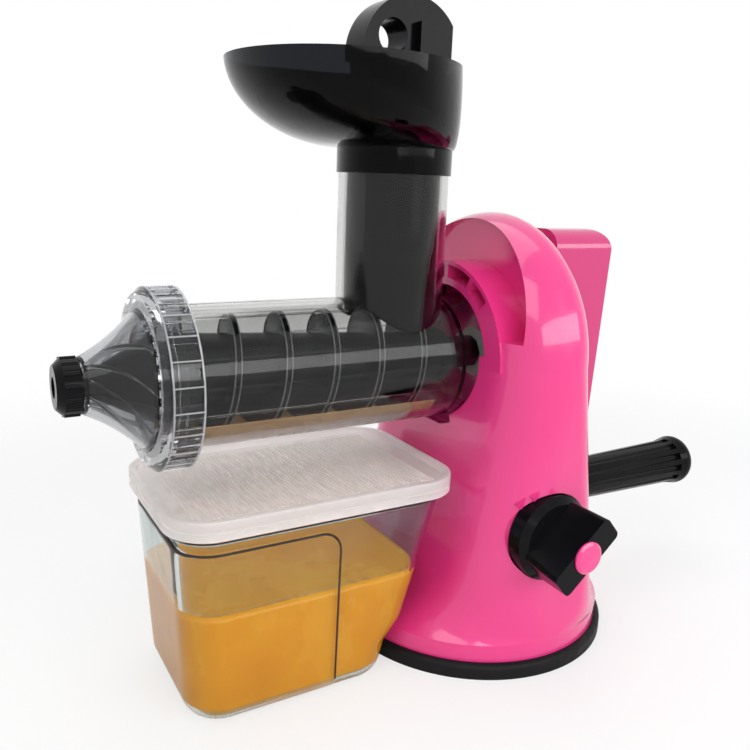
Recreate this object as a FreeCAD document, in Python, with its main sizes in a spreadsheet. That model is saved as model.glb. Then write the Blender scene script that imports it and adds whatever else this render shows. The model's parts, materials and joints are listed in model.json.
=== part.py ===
import FreeCAD, Part
import math
import os

from FreeCAD import Placement, Rotation, Vector
from Sketcher import Constraint

# Manual juicer on a suction foot. Millimetres, +Z up, origin at the centre of the foot's underside.
# The juicing barrel points towards -Y, the crank is at the back (+Y), the suction knob on the +X side.

doc = FreeCAD.newDocument("manual_juicer")
sheet = doc.addObject("Spreadsheet::Sheet", "sizes")
parts = {}


class Size:
    """A value of the sheet, or a sum or share of such values, with the formula that gives it."""

    def __init__(self, value, text):
        self.value = value
        self.text = text

    def __add__(self, other):
        other = sized(other)
        return Size(self.value + other.value, f"({self.text} + {other.text})")

    def __sub__(self, other):
        other = sized(other)
        return Size(self.value - other.value, f"({self.text} - {other.text})")

    def __mul__(self, other):
        other = sized(other)
        return Size(self.value * other.value, f"({self.text} * {other.text})")

    def __truediv__(self, other):
        other = sized(other)
        return Size(self.value / other.value, f"({self.text} / {other.text})")

    def __neg__(self):
        return Size(-self.value, f"(0 - {self.text})")

    def __radd__(self, other):
        return sized(other) + self

    def __rsub__(self, other):
        return sized(other) - self

    def __rmul__(self, other):
        return sized(other) * self


def sized(value):
    return value if isinstance(value, Size) else Size(value, f"({value!r})")


def size(alias, value):
    row = len(sheet.getUsedCells()) // 2 + 1
    sheet.set(f"A{row}", alias.replace("_", " "))
    sheet.set(f"B{row}", str(value))
    sheet.setAlias(f"B{row}", alias)
    return Size(value, f"sizes.{alias}")


def root(value):
    return Size(math.sqrt(value.value), f"sqrt({value.text})")


# Fits and walls.
running_gap = size("running_gap", 0.08)
seat_gap = size("seat_gap", 0.3)
press_gap = size("press_gap", 0.02)
housing_wall = size("housing_wall", 3)

# Suction foot.
foot_radius = size("foot_radius", 70)
foot_top = size("foot_top", 7)
foot_rim = size("foot_rim", 14)
foot_skin = size("foot_skin", 3)
foot_lift = size("foot_lift", 5)
foot_lip = size("foot_lip", 2)
foot_lip_width = size("foot_lip_width", 3.7)

# Pink housing: a flared column under a round head.
base_radius = size("base_radius", 66.8)
band_height = size("band_height", 8.5)
seam_place = size("seam_place", 5)
head_height = size("head_height", 142.5)
head_radius = size("head_radius", 65)
body_front = size("body_front", 25.5)
body_back = size("body_back", 14.5)
front_round = size("front_round", 28)
back_round = size("back_round", 13)
front_lean = size("front_lean", 21)
back_lean = size("back_lean", 17)

# Barrel axis, gears and crank.
barrel_height = size("barrel_height", 139.8)
gear_module = size("gear_module", 2)
gear_width = size("gear_width", 10)
gear_back = size("gear_back", 6)
gear_hub_radius = size("gear_hub_radius", 12)
gear_journal_radius = size("gear_journal_radius", 7)
gear_journal_length = size("gear_journal_length", 5.5)
web_back = size("web_back", 5)
web_thickness = size("web_thickness", 4)
drive_across = size("drive_across", 12)
drive_depth = size("drive_depth", 10)
shaft_radius = size("shaft_radius", 5)
bush_wall = size("bush_wall", 3)
bush_stand = size("bush_stand", 3)

# Barrel socket, its collar and the scoop above it.
collar_radius = size("collar_radius", 45)
socket_radius = size("socket_radius", 37)
chamber_radius = size("chamber_radius", 35)
socket_lip = size("socket_lip", 4.5)
cell_outer = size("cell_outer", 43.2)
cell_depth = size("cell_depth", 12)
scoop_height = size("scoop_height", 152)
scoop_radius = size("scoop_radius", 52.5)
scoop_back = size("scoop_back", 8)
scoop_ledge = size("scoop_ledge", 153.4)

# Clear barrel and feed tube.
barrel_radius = size("barrel_radius", 29.4)
barrel_wall = size("barrel_wall", 2.9)
barrel_front = size("barrel_front", 160)
barrel_back = size("barrel_back", 10.5)
barrel_bulkhead = size("barrel_bulkhead", 33)
bulkhead_thickness = size("bulkhead_thickness", 3)
thread_radius = size("thread_radius", 31)
thread_length = size("thread_length", 5)
lug_radius = size("lug_radius", 33)
lug_thickness = size("lug_thickness", 3)
slot_width = size("slot_width", 2)
slot_length = size("slot_length", 26)
slot_pitch = size("slot_pitch", 7)
tube_place = size("tube_place", 56.8)
tube_radius = size("tube_radius", 24.3)
tube_bore = size("tube_bore", 21.6)
tube_shoulder = size("tube_shoulder", 222.8)
tube_neck_radius = size("tube_neck_radius", 23.2)
tube_neck = size("tube_neck", 13)

# Auger.
auger_radius = size("auger_radius", 24.4)
auger_neck = size("auger_neck", 8)
auger_core_back = size("auger_core_back", 11)
auger_core_front = size("auger_core_front", 18)
flight_pitch = size("flight_pitch", 21.5)
flight_thickness = size("flight_thickness", 2.4)
tip_radius = size("tip_radius", 4.5)

# Lock ring, nozzle cone and pulp cap.
ring_radius = size("ring_radius", 36.6)
ring_length = size("ring_length", 15.5)
ring_bevel = size("ring_bevel", 1.2)
ring_ribs = 24
notch_width = size("notch_width", 4.2)
notch_depth = size("notch_depth", 1.5)
flange_thickness = size("flange_thickness", 3)
cone_shoulder = size("cone_shoulder", 28.3)
cone_wall = size("cone_wall", 2.4)
cone_length = size("cone_length", 32.5)
cone_hollow = size("cone_hollow", 70)
nose_radius = size("nose_radius", 9)
nose_length = size("nose_length", 6)
cap_radius = size("cap_radius", 11.1)
cap_length = size("cap_length", 9)
cap_bevel = size("cap_bevel", 2.6)
pulp_hole = size("pulp_hole", 4.2)

# Hopper and pusher.
hopper_rim = size("hopper_rim", 265.7)
hopper_radius = size("hopper_radius", 48.8)
hopper_back = size("hopper_back", 34.2)
hopper_floor = size("hopper_floor", 3.5)
hopper_wall = size("hopper_wall", 1.6)
sleeve_radius = size("sleeve_radius", 25.3)
pusher_radius = size("pusher_radius", 20.6)
pusher_flat = size("pusher_flat", 18.5)
pusher_top = size("pusher_top", 268)
head_disc_radius = size("head_disc_radius", 24)
head_disc_height = size("head_disc_height", 271)
head_disc_shift = size("head_disc_shift", 2.3)
head_disc_width = size("head_disc_width", 16)
head_disc_back = size("head_disc_back", 21.8)
finger_radius = size("finger_radius", 7)
rest_width = size("rest_width", 24)
rest_height = size("rest_height", 284.5)
rest_front = size("rest_front", 3.2)
rest_back = size("rest_back", 18.6)

# Crank arm and grip.
arm_front = size("arm_front", 31.5)
arm_depth = size("arm_depth", 37.3)
arm_taper = size("arm_taper", 7.7)
arm_half_width = size("arm_half_width", 13)
arm_top = size("arm_top", 21.2)
arm_round = size("arm_round", 10)
arm_wall = size("arm_wall", 3)
crank_length = size("crank_length", 119.8)
pin_radius = size("pin_radius", 4)
grip_length = size("grip_length", 98)
grip_radius = size("grip_radius", 11.4)
grip_waist = size("grip_waist", 12.9)
grip_bulge = size("grip_bulge", 14.4)
flutes = 12

# Suction knob, cam shaft and pull rod.
knob_height = size("knob_height", 67.5)
knob_place = size("knob_place", -6.2)
knob_radius = size("knob_radius", 20)
knob_rim = size("knob_rim", 17)
knob_sunk = size("knob_sunk", 60.3)
knob_side = size("knob_side", 67.5)
knob_front = size("knob_front", 70.5)
knob_face = size("knob_face", 88.5)
knob_bar_length = size("knob_bar_length", 36.2)
knob_bar_foot = size("knob_bar_foot", 18.8)
knob_bar_top = size("knob_bar_top", 12.6)
knob_well_wall = size("knob_well_wall", 3)
knob_angle = 41
button_radius = size("button_radius", 7.3)
cam_shaft_radius = size("cam_shaft_radius", 5.5)
cam_radius = size("cam_radius", 8.8)
cam_offset = size("cam_offset", 3)
cam_width = size("cam_width", 8)
rod_radius = size("rod_radius", 4)
bearer_gap = size("bearer_gap", 9)
bearer_thickness = size("bearer_thickness", 5)

# Base plate and screws.
plate_thickness = size("plate_thickness", 4)
screw_radius = size("screw_radius", 1.6)
screw_head_radius = size("screw_head_radius", 3.5)
screw_head = size("screw_head", 2.2)
boss_radius = size("boss_radius", 5)
screw_seat = size("screw_seat", 7)

# Juice cup and lid.
cup_near = size("cup_near", 71.2)
cup_hip = size("cup_hip", 67.4)
cup_shoulder = size("cup_shoulder", 59.5)
cup_shoulder_height = size("cup_shoulder_height", 26)
cup_brim = size("cup_brim", 41.8)
cup_far = size("cup_far", 160.5)
cup_flare_far = size("cup_flare_far", 5.5)
cup_half_width = size("cup_half_width", 36.5)
cup_flare_side = size("cup_flare_side", 3)
cup_step = size("cup_step", 16)
cup_height = size("cup_height", 88.5)
cup_round = size("cup_round", 15)
cup_bottom_round = size("cup_bottom_round", 7)
cup_wall = size("cup_wall", 2)
cup_flange = size("cup_flange", 1.6)
panel_end = size("panel_end", 99)
panel_height = size("panel_height", 78)
panel_stand = size("panel_stand", 1.2)
lid_thickness = size("lid_thickness", 2.4)
lid_skirt = size("lid_skirt", 3.2)
lid_rim = size("lid_rim", 2.6)
rib_pitch = size("rib_pitch", 3.2)
rib_width = size("rib_width", 1.4)
rib_height = size("rib_height", 0.8)

doc.recompute()

pinion_teeth = 13
gear_teeth = 26
tooth_angle = 25
crank_height = barrel_height + gear_module * (pinion_teeth + gear_teeth) / 2
grip_height = crank_height - crank_length
tube_axis = -tube_place


# Drawing in sketches.

def bind(item, name, value):
    item.setExpression(name, sized(value).text)


def sketch(owner, plane, offset=0, turn=0):
    base = [item for item in owner.Origin.OriginFeatures if item.Role == plane][0]
    made = owner.newObject("Sketcher::SketchObject", f"{owner.Name}_sketch")
    made.AttachmentSupport = [(base, "")]
    made.MapMode = "FlatFace"
    made.AttachmentOffset = Placement(Vector(0, 0, sized(offset).value), Rotation(Vector(0, 0, 1), turn))
    bind(made, "AttachmentOffset.Base.z", offset)
    return made


def pin(made, item, point, name, value):
    # One coordinate of a point: on the axis where it is nothing, else at a bound distance.
    value = sized(value)
    if abs(value.value) < 1e-9:
        made.addConstraint(Constraint("PointOnObject", item, point, -2 if name == "DistanceX" else -1))
        return
    index = made.addConstraint(Constraint(name, -1, 1, item, point, value.value))
    made.setExpression(f"Constraints[{index}]", value.text)


def disc(radius, x=0, y=0):
    def draw(made):
        centre = Vector(sized(x).value, sized(y).value, 0)
        item = made.addGeometry(Part.Circle(centre, Vector(0, 0, 1), sized(radius).value))
        index = made.addConstraint(Constraint("Radius", item, sized(radius).value))
        made.setExpression(f"Constraints[{index}]", sized(radius).text)
        pin(made, item, 3, "DistanceX", x)
        pin(made, item, 3, "DistanceY", y)
    return draw


def outline(corners, bends=None):
    # A closed run of corners. bends gives the radius of each edge that is an arc,
    # by the number of its first corner: plus turns left on the way, minus turns right.
    bends = bends or {}

    def draw(made):
        spots = [Vector(sized(x).value, sized(y).value, 0) for x, y in corners]
        ends = []
        for number, start in enumerate(spots):
            stop = spots[(number + 1) % len(spots)]
            if number not in bends:
                item = made.addGeometry(Part.LineSegment(start, stop))
                ends.append((item, 1, 2))
                continue
            radius = sized(bends[number])
            left = radius.value > 0
            chord = stop - start
            rise = math.sqrt(max(radius.value ** 2 - (chord.Length / 2) ** 2, 0))
            side = Vector(-chord.y, chord.x, 0).normalize() * (rise if left else -rise)
            centre = (start + stop) / 2 + side
            circle = Part.Circle(centre, Vector(0, 0, 1), abs(radius.value))
            first, last = (start, stop) if left else (stop, start)
            angles = [math.atan2(spot.y - centre.y, spot.x - centre.x) for spot in (first, last)]
            item = made.addGeometry(Part.ArcOfCircle(circle, *angles))
            ends.append((item, 1, 2) if left else (item, 2, 1))
            if rise < 0.001:
                # A half circle is held by its centre.
                made.addConstraint(Constraint("Symmetric", item, 1, item, 2, item, 3))
                continue
            index = made.addConstraint(Constraint("Radius", item, abs(radius.value)))
            made.setExpression(f"Constraints[{index}]", radius.text if left else f"(0 - {radius.text})")
        for number, (item, head, tail) in enumerate(ends):
            after = ends[(number + 1) % len(ends)]
            made.addConstraint(Constraint("Coincident", item, tail, after[0], after[1]))
            pin(made, item, head, "DistanceX", corners[number][0])
            pin(made, item, head, "DistanceY", corners[number][1])
    return draw


def rectangle(left, right, low, high):
    return outline([(left, low), (right, low), (right, high), (left, high)])


def soft_rectangle(left, right, low, high, low_round, high_round=None):
    # A rectangle with rounded corners, one radius along its low side and one along its high side.
    high_round = low_round if high_round is None else high_round
    corners = [
        (left + low_round, low), (right - low_round, low),
        (right, low + low_round), (right, high - high_round),
        (right - high_round, high), (left + high_round, high),
        (left, high - high_round), (left, low + low_round),
    ]
    return outline(corners, {1: low_round, 3: high_round, 5: high_round, 7: low_round})


def polar(radius, angle):
    return radius * math.cos(math.radians(angle)), radius * math.sin(math.radians(angle))


def sector(inner, outer, first, last, height=0):
    # The part of a ring between two angles, about the point (0, height).
    spots = [polar(inner, first), polar(outer, first), polar(outer, last), polar(inner, last)]
    corners = [(x, y + height) for x, y in spots]
    return outline(corners, {1: outer, 3: -inner})


# Features of a body.

def body(name, x=0, y=0, z=0, turn=None):
    made = doc.addObject("PartDesign::Body", name)
    made.Label = name
    if turn:
        made.Placement = Placement(Vector(0, 0, 0), turn)
    bind(made, "Placement.Base.x", x)
    bind(made, "Placement.Base.y", y)
    bind(made, "Placement.Base.z", z)
    parts[name] = made
    return made


def extrude(owner, plane, low, high, *draws, cut=False, turn=0):
    # Fills, or cuts, from low to high along the plane's own axis. The XZ plane's sketches look along -Y.
    low, high = sized(low), sized(high)
    made = sketch(owner, plane, -high if plane == "XZ_Plane" else low, turn)
    for draw in draws:
        draw(made)
    feature = owner.newObject("PartDesign::Pocket" if cut else "PartDesign::Pad", f"{owner.Name}_step")
    feature.Profile = made
    bind(feature, "Length", high - low)
    feature.Reversed = cut
    return feature


def carve(owner, plane, low, high, *draws, turn=0):
    return extrude(owner, plane, low, high, *draws, cut=True, turn=turn)


def turned(owner, plane, axis, corners, bends=None, cut=False):
    made = sketch(owner, plane)
    outline(corners, bends)(made)
    feature = owner.newObject("PartDesign::Groove" if cut else "PartDesign::Revolution", f"{owner.Name}_turn")
    feature.Profile = made
    feature.ReferenceAxis = (made, [axis])
    return feature


def along_barrel(owner, corners, bends=None, cut=False):
    # Turned about the body's own Y axis; a corner is (place along Y, radius).
    return turned(owner, "YZ_Plane", "H_Axis", corners, bends, cut)


def upright(owner, corners, bends=None, cut=False):
    # Turned about the body's own Z axis; a corner is (radius, height).
    return turned(owner, "XZ_Plane", "V_Axis", corners, bends, cut)


def loft(owner, plane, levels, cut=False, ruled=False):
    sections = []
    for offset, draw in levels:
        made = sketch(owner, plane, offset)
        draw(made)
        sections.append(made)
    feature = owner.newObject("PartDesign::SubtractiveLoft" if cut else "PartDesign::AdditiveLoft",
                              f"{owner.Name}_loft")
    feature.Profile = sections[0]
    feature.Sections = sections[1:]
    feature.Ruled = ruled
    return feature


def around(owner, feature, axis, count):
    line = [item for item in owner.Origin.OriginFeatures if item.Role == axis][0]
    made = owner.newObject("PartDesign::PolarPattern", f"{owner.Name}_round")
    made.Originals = [feature]
    made.Axis = (line, [""])
    made.Angle = 360
    made.Occurrences = count
    owner.Tip = made
    return made


def in_row(owner, feature, axis, pitch, count):
    line = [item for item in owner.Origin.OriginFeatures if item.Role == axis][0]
    made = owner.newObject("PartDesign::LinearPattern", f"{owner.Name}_row")
    made.Originals = [feature]
    made.Direction = (line, [""])
    made.Reversed = sized(pitch).value < 0
    bind(made, "Length", (-pitch if made.Reversed else pitch) * (count - 1))
    made.Occurrences = count
    owner.Tip = made
    return made


# Housing.

def column_level(share, inset=0):
    # The column's plan at a share of its height: a skirt that fades upwards and a gentle lean.
    fade = (1 - share) * math.exp(-share / 0.06)
    slow_fade = (1 - share) * math.exp(-share / 0.12)
    lean_share = (1 - share) ** 1.3
    wide = head_radius + (base_radius - head_radius) * (1 - share) - inset
    front = body_front + front_lean * lean_share + (base_radius - body_front - front_lean) * fade - inset
    back = body_back + back_lean * (1 - share) + (base_radius - body_back - back_lean) * fade - inset
    full_round = base_radius - 0.5
    front_corner = front_round + (full_round - front_round) * slow_fade - inset
    back_corner = back_round + (full_round - back_round) * fade - inset
    return wide, front, back, front_corner, back_corner


def column_section(share, inset=0):
    wide, front, back, front_corner, back_corner = column_level(share, inset)
    return soft_rectangle(-wide, wide, -front, back, front_corner, back_corner)


band_top = foot_top + band_height


def column_height(share):
    return band_top + (head_height - band_top) * share


column_shares = (0, 0.05, 0.11, 0.21, 0.42, 0.7, 1)
screw_spots = ((41, 172), (50, 50))
plate_bosses = ((44, -34), (49, 26))
plate_bottom = foot_top + foot_lip
plate_top = plate_bottom + plate_thickness
boss_top = column_height(0.15)


def housing_shell(owner):
    loft(owner, "XY_Plane", [(column_height(share), column_section(share)) for share in column_shares])
    extrude(owner, "XY_Plane", foot_top, band_top, disc(base_radius))
    head = sketch(owner, "YZ_Plane")
    front = -body_front
    corners = [
        (front, head_height), (front, head_height + head_radius - front_round),
        (front + front_round, head_height + head_radius),
        (body_back - back_round, head_height + head_radius),
        (body_back, head_height + head_radius - back_round), (body_back, head_height),
    ]
    outline(corners, {1: -front_round, 3: -back_round})(head)
    revolve_on_edge(owner, head, len(corners) - 1, "PartDesign::Revolution")
    carve(owner, "XY_Plane", foot_top, band_top, disc(base_radius - housing_wall))
    inside = [(column_height(share), column_section(share, housing_wall)) for share in column_shares]
    loft(owner, "XY_Plane", inside, cut=True)
    hollow = sketch(owner, "YZ_Plane")
    back = body_back - housing_wall
    inner = head_height + head_radius - housing_wall
    soft = back_round - housing_wall
    corners = [
        (-web_back, head_height), (-web_back, inner), (back - soft, inner),
        (back, inner - soft), (back, head_height),
    ]
    outline(corners, {2: -soft})(hollow)
    revolve_on_edge(owner, hollow, len(corners) - 1, "PartDesign::Groove")


def revolve_on_edge(owner, made, edge, kind):
    # Turns a sketch half round about one of its own straight edges.
    feature = owner.newObject(kind, f"{owner.Name}_turn")
    feature.Profile = made
    feature.ReferenceAxis = (made, [f"Edge{edge + 1}"])
    feature.Angle = 180
    feature.Midplane = True
    return feature


def plate_boss(owner, spot):
    centres = [(side * spot[0], spot[1]) for side in (-1, 1)]
    extrude(owner, "XY_Plane", plate_top, boss_top, *[disc(boss_radius, x, y) for x, y in centres])
    holes = [disc(screw_radius + press_gap, x, y) for x, y in centres]
    carve(owner, "XY_Plane", plate_top, plate_top + 12, *holes)


def horseshoe(inner, outer, reach):
    # A ring about the knob's axis, open towards the front beyond plus and minus the reach.
    spots = [(radius, angle) for radius, turn in ((outer, 1), (inner, -1)) for angle in (-reach, 0, reach)[::turn]]
    corners = []
    for radius, angle in spots:
        y, z = polar(radius, angle)
        corners.append((knob_place + y, knob_height + z))
    return outline(corners, {0: outer, 1: outer, 3: -inner, 4: -inner})


def knob_bearing(owner):
    # The knob's drum sits in a round well in the housing's side; the well's wall ends inside the shell.
    well = knob_radius + 2 * seat_gap
    floor = knob_sunk - seat_gap
    low = floor - knob_well_wall
    extrude(owner, "YZ_Plane", low, floor, disc(well, knob_place, knob_height))
    for reach, top in ((120, head_radius - 1), (137, head_radius - 3.5)):
        extrude(owner, "YZ_Plane", low, top, horseshoe(well - 0.5, well + knob_well_wall, reach))
    carve(owner, "YZ_Plane", floor, base_radius + 1, disc(well, knob_place, knob_height))
    carve(owner, "YZ_Plane", low - 1, floor + 1, disc(cam_shaft_radius + running_gap, knob_place, knob_height))


def front_housing():
    made = body("front_housing")
    housing_shell(made)
    floor = web_back + web_thickness
    # The socket block: a full ring below, and a wider collar with the cells above.
    extrude(made, "XZ_Plane", -(body_front - 2), -web_back, disc(socket_radius, 0, barrel_height))
    half = [(collar_radius, barrel_height), (-collar_radius, barrel_height)]
    extrude(made, "XZ_Plane", -body_front, -web_back, outline(half, {0: collar_radius}))
    # The scoop between the collar and the round edge of the head.
    reach = root(scoop_radius * scoop_radius - (scoop_ledge - scoop_height) * (scoop_ledge - scoop_height))
    foot = root(collar_radius * collar_radius - (scoop_ledge - barrel_height) * (scoop_ledge - barrel_height))
    scoop = [(foot, scoop_ledge), (reach, scoop_ledge), (-reach, scoop_ledge), (-foot, scoop_ledge)]
    carve(made, "XZ_Plane", -(body_front + 1), -scoop_back,
          outline_major(scoop, {1: scoop_radius, 3: -collar_radius}))
    # Bore, lug chamber and the two entry slots of the bayonet.
    lip = body_front - socket_lip
    carve(made, "XZ_Plane", -(body_front + 4), -floor, disc(barrel_radius + 2 * seat_gap, 0, barrel_height))
    carve(made, "XZ_Plane", -lip, -floor, disc(chamber_radius, 0, barrel_height))
    for first, last in ((9, 117), (189, 297)):
        carve(made, "XZ_Plane", -(body_front + 4), -(lip - 1),
              sector(barrel_radius - 2, lug_radius + 0.8, first, last, barrel_height))
    # Four open cells round the top of the collar.
    cells = [sector(socket_radius, cell_outer, first, last, barrel_height)
             for first, last in ((43, 61), (64, 88), (92, 116), (119, 137))]
    carve(made, "XZ_Plane", -(body_front + 1), -(body_front - cell_depth), *cells)
    # Hub hole and the blind front bearing of the crank shaft.
    carve(made, "XZ_Plane", -(floor + 1), -(web_back - 1), disc(gear_hub_radius + running_gap, 0, barrel_height))
    carve(made, "XZ_Plane", -(web_back + 3), -(web_back - 1), disc(shaft_radius + running_gap, 0, crank_height))
    # Screw bosses.
    upper, lower = screw_spots
    depth = -column_level(0.27)[1] + 9
    extrude(made, "XZ_Plane", depth, seam_place, *[disc(boss_radius, side * lower[0], lower[1]) for side in (-1, 1)])
    extrude(made, "XZ_Plane", -web_back - 1, seam_place,
            *[disc(boss_radius, side * upper[0], upper[1]) for side in (-1, 1)])
    holes = [disc(screw_radius + press_gap, side * x, z) for x, z in screw_spots for side in (-1, 1)]
    carve(made, "XZ_Plane", seam_place - 12, seam_place + 1, *holes)
    plate_boss(made, plate_bosses[0])
    knob_bearing(made)
    across = base_radius + 10
    carve(made, "XZ_Plane", seam_place, across, rectangle(-across, across, foot_top - 5, head_height + across))
    return made


def rear_cover():
    made = body("rear_cover")
    housing_shell(made)
    # Bearing boss of the crank shaft, which stands out at the back, and the gear's rear bearing.
    bush = shaft_radius + bush_wall
    extrude(made, "XZ_Plane", gear_back + 1.5, body_back + bush_stand, disc(bush + 3.5, 0, crank_height))
    carve(made, "XZ_Plane", gear_back, body_back + bush_stand + 1, disc(bush + press_gap, 0, crank_height))
    extrude(made, "XZ_Plane", gear_back + 1, body_back - 1, disc(gear_journal_radius + 3.5, 0, barrel_height))
    end = gear_back + gear_journal_length + 0.5
    carve(made, "XZ_Plane", gear_back, end, disc(gear_journal_radius + running_gap, 0, barrel_height))
    # Screw tubes with a sunk seat for each head.
    for (x, z), share in zip(screw_spots, (1, 0.27)):
        back = column_level(share)[2]
        rings = [disc(boss_radius + 0.5, side * x, z) for side in (-1, 1)]
        extrude(made, "XZ_Plane", seam_place, back - 1, *rings)
        wells = [disc(screw_head_radius + 0.4, side * x, z) for side in (-1, 1)]
        carve(made, "XZ_Plane", seam_place + screw_seat, back + 4, *wells)
    holes = [disc(screw_radius + 0.3, side * x, z) for x, z in screw_spots for side in (-1, 1)]
    carve(made, "XZ_Plane", seam_place - 1, seam_place + screw_seat + 1, *holes)
    plate_boss(made, plate_bosses[1])
    knob_bearing(made)
    across = base_radius + 10
    carve(made, "XZ_Plane", -across, seam_place, rectangle(-across, across, foot_top - 5, head_height + across))
    return made


def outline_major(corners, bends):
    # As outline, but the first arc named takes the long way round its circle.
    def draw(made):
        spots = [Vector(sized(x).value, sized(y).value, 0) for x, y in corners]
        wide, narrow = sized(bends[1]), sized(-bends[3])
        low, high = spots[1], spots[2]
        centre = Vector(0, scoop_height.value, 0)
        angles = [math.atan2(spot.y - centre.y, spot.x - centre.x) for spot in (low, high)]
        outer = made.addGeometry(Part.ArcOfCircle(Part.Circle(centre, Vector(0, 0, 1), wide.value), *angles))
        centre = Vector(0, barrel_height.value, 0)
        angles = [math.atan2(spot.y - centre.y, spot.x - centre.x) for spot in (spots[0], spots[3])]
        inner = made.addGeometry(Part.ArcOfCircle(Part.Circle(centre, Vector(0, 0, 1), narrow.value), *angles))
        first = made.addGeometry(Part.LineSegment(spots[0], spots[1]))
        last = made.addGeometry(Part.LineSegment(spots[2], spots[3]))
        joins = ((first, 2, outer, 1), (outer, 2, last, 1), (last, 2, inner, 2), (inner, 1, first, 1))
        for join in joins:
            made.addConstraint(Constraint("Coincident", *join))
        for item, height in ((outer, scoop_height), (inner, barrel_height)):
            pin(made, item, 3, "DistanceX", 0)
            pin(made, item, 3, "DistanceY", height)
        for item, radius in ((outer, wide), (inner, narrow)):
            index = made.addConstraint(Constraint("Radius", item, radius.value))
            made.setExpression(f"Constraints[{index}]", radius.text)
        for item, point, height in ((outer, 1, corners[1][1]), (outer, 2, corners[2][1]),
                                    (inner, 1, corners[0][1]), (inner, 2, corners[3][1])):
            pin(made, item, point, "DistanceY", height)
    return draw


# Base.

def suction_foot():
    made = body("suction_foot")
    edge = foot_radius - 2.5
    lip_outer = base_radius - housing_wall - seat_gap
    lip_inner = lip_outer - foot_lip_width
    rim = foot_radius - foot_rim
    inner = rim - 12
    pad = size_of_pad()
    corners = [
        (0, foot_lift - 2), (pad, foot_lift - 2), (pad + 2, foot_lift), (inner, foot_lift), (rim, 0),
        (foot_radius, 0), (foot_radius, foot_top - 2.5), (edge, foot_top), (lip_outer, foot_top),
        (lip_outer, foot_top + foot_lip), (lip_inner, foot_top + foot_lip), (rim, foot_skin),
        (inner, foot_lift + foot_skin), (0, foot_lift + foot_skin),
    ]
    upright(made, corners, {6: foot_top - (foot_top - 2.5)})
    return made


def size_of_pad():
    return rod_radius + 6


def base_plate():
    made = body("base_plate")
    radius = base_radius - housing_wall - seat_gap
    extrude(made, "XY_Plane", plate_bottom, plate_top, disc(radius))
    extrude(made, "XY_Plane", plate_top - 1, plate_top + 16, disc(rod_radius + 3.5))
    # Two bearers carry the cam shaft.
    wide = cam_shaft_radius + 4
    low, high = knob_place - wide, knob_place + wide
    shape = outline([(low, plate_top - 1), (high, plate_top - 1), (high, knob_height), (low, knob_height)], {2: wide})
    reach = bearer_gap + bearer_thickness
    extrude(made, "YZ_Plane", -reach, -bearer_gap, shape)
    extrude(made, "YZ_Plane", bearer_gap, reach, shape)
    hole = disc(cam_shaft_radius + running_gap, knob_place, knob_height)
    carve(made, "YZ_Plane", -reach - 1, reach + 1, hole)
    carve(made, "XY_Plane", plate_bottom - 1, plate_top + 17, disc(rod_radius + running_gap))
    spots = [(side * x, y) for x, y in plate_bosses for side in (-1, 1)]
    carve(made, "XY_Plane", plate_bottom - 1, plate_top + 1, *[disc(screw_radius + 0.3, x, y) for x, y in spots])
    carve(made, "XY_Plane", plate_bottom - 1, plate_bottom + screw_head + 0.2,
          *[disc(screw_head_radius + 0.4, x, y) for x, y in spots])
    return made


def screw_set(name, spots, length, head_first):
    # Equal screws as one node: a round head with a cross recess on a plain shank.
    # Each spot is where the head's seat lies, head_first the way from the seat to the head.
    turn = Rotation(Vector(0, 0, 1), Vector(*head_first))
    made = []
    for number, (x, y, z) in enumerate(spots):
        head = doc.addObject("Part::Cylinder", f"{name}_head_{number}")
        bind(head, "Radius", screw_head_radius)
        bind(head, "Height", screw_head)
        shank = doc.addObject("Part::Cylinder", f"{name}_shank_{number}")
        bind(shank, "Radius", screw_radius)
        bind(shank, "Height", length)
        whole = doc.addObject("Part::Fuse", f"{name}_blank_{number}")
        whole.Base = head
        whole.Tool = shank
        shank.Placement = Placement(Vector(0, 0, 0), Rotation(Vector(1, 0, 0), 180))
        cross = []
        for angle in (0, 90):
            bar = doc.addObject("Part::Box", f"{name}_bar_{number}_{angle}")
            bind(bar, "Length", screw_head_radius)
            bind(bar, "Width", screw_head_radius / 5)
            bind(bar, "Height", screw_head)
            half = Vector(-screw_head_radius.value / 2, -screw_head_radius.value / 10, screw_head.value / 2)
            bar.Placement = Placement(Rotation(Vector(0, 0, 1), angle).multVec(half), Rotation(Vector(0, 0, 1), angle))
            cross.append(bar)
        recess = doc.addObject("Part::Fuse", f"{name}_cross_{number}")
        recess.Base, recess.Tool = cross
        screw = doc.addObject("Part::Cut", f"{name}_{number}")
        screw.Base = whole
        screw.Tool = recess
        screw.Placement = Placement(Vector(0, 0, 0), turn)
        bind(screw, "Placement.Base.x", x)
        bind(screw, "Placement.Base.y", y)
        bind(screw, "Placement.Base.z", z)
        made.append(screw)
    group = doc.addObject("Part::Compound", name)
    group.Label = name
    group.Links = made
    parts[name] = group
    return group


# Drive train.

def involute(angle):
    return math.tan(angle) - angle


def tooth_gap(teeth, middle):
    # One gap between two teeth, as multiples of the module: involute flanks as arcs, radial below.
    pressure = math.radians(tooth_angle)
    pitch = teeth / 2
    base = pitch * math.cos(pressure)
    floor = pitch - 1.2
    play = 0.06
    half = math.pi / (2 * teeth) + play / teeth

    def half_angle(radius):
        if radius <= base:
            return half - involute(pressure)
        return half - involute(pressure) + involute(math.acos(base / radius))

    tip = pitch + 1.3
    low = max(base, floor + 0.1)
    flank = [(radius, math.degrees(half_angle(radius))) for radius in (tip, (tip + low) / 2, low, floor)]

    def spot(radius, angle):
        return polar(gear_module * radius, middle + angle)

    corners = [spot(r, a) for r, a in flank] + [spot(r, -a) for r, a in reversed(flank)]
    return outline(corners)


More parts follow.
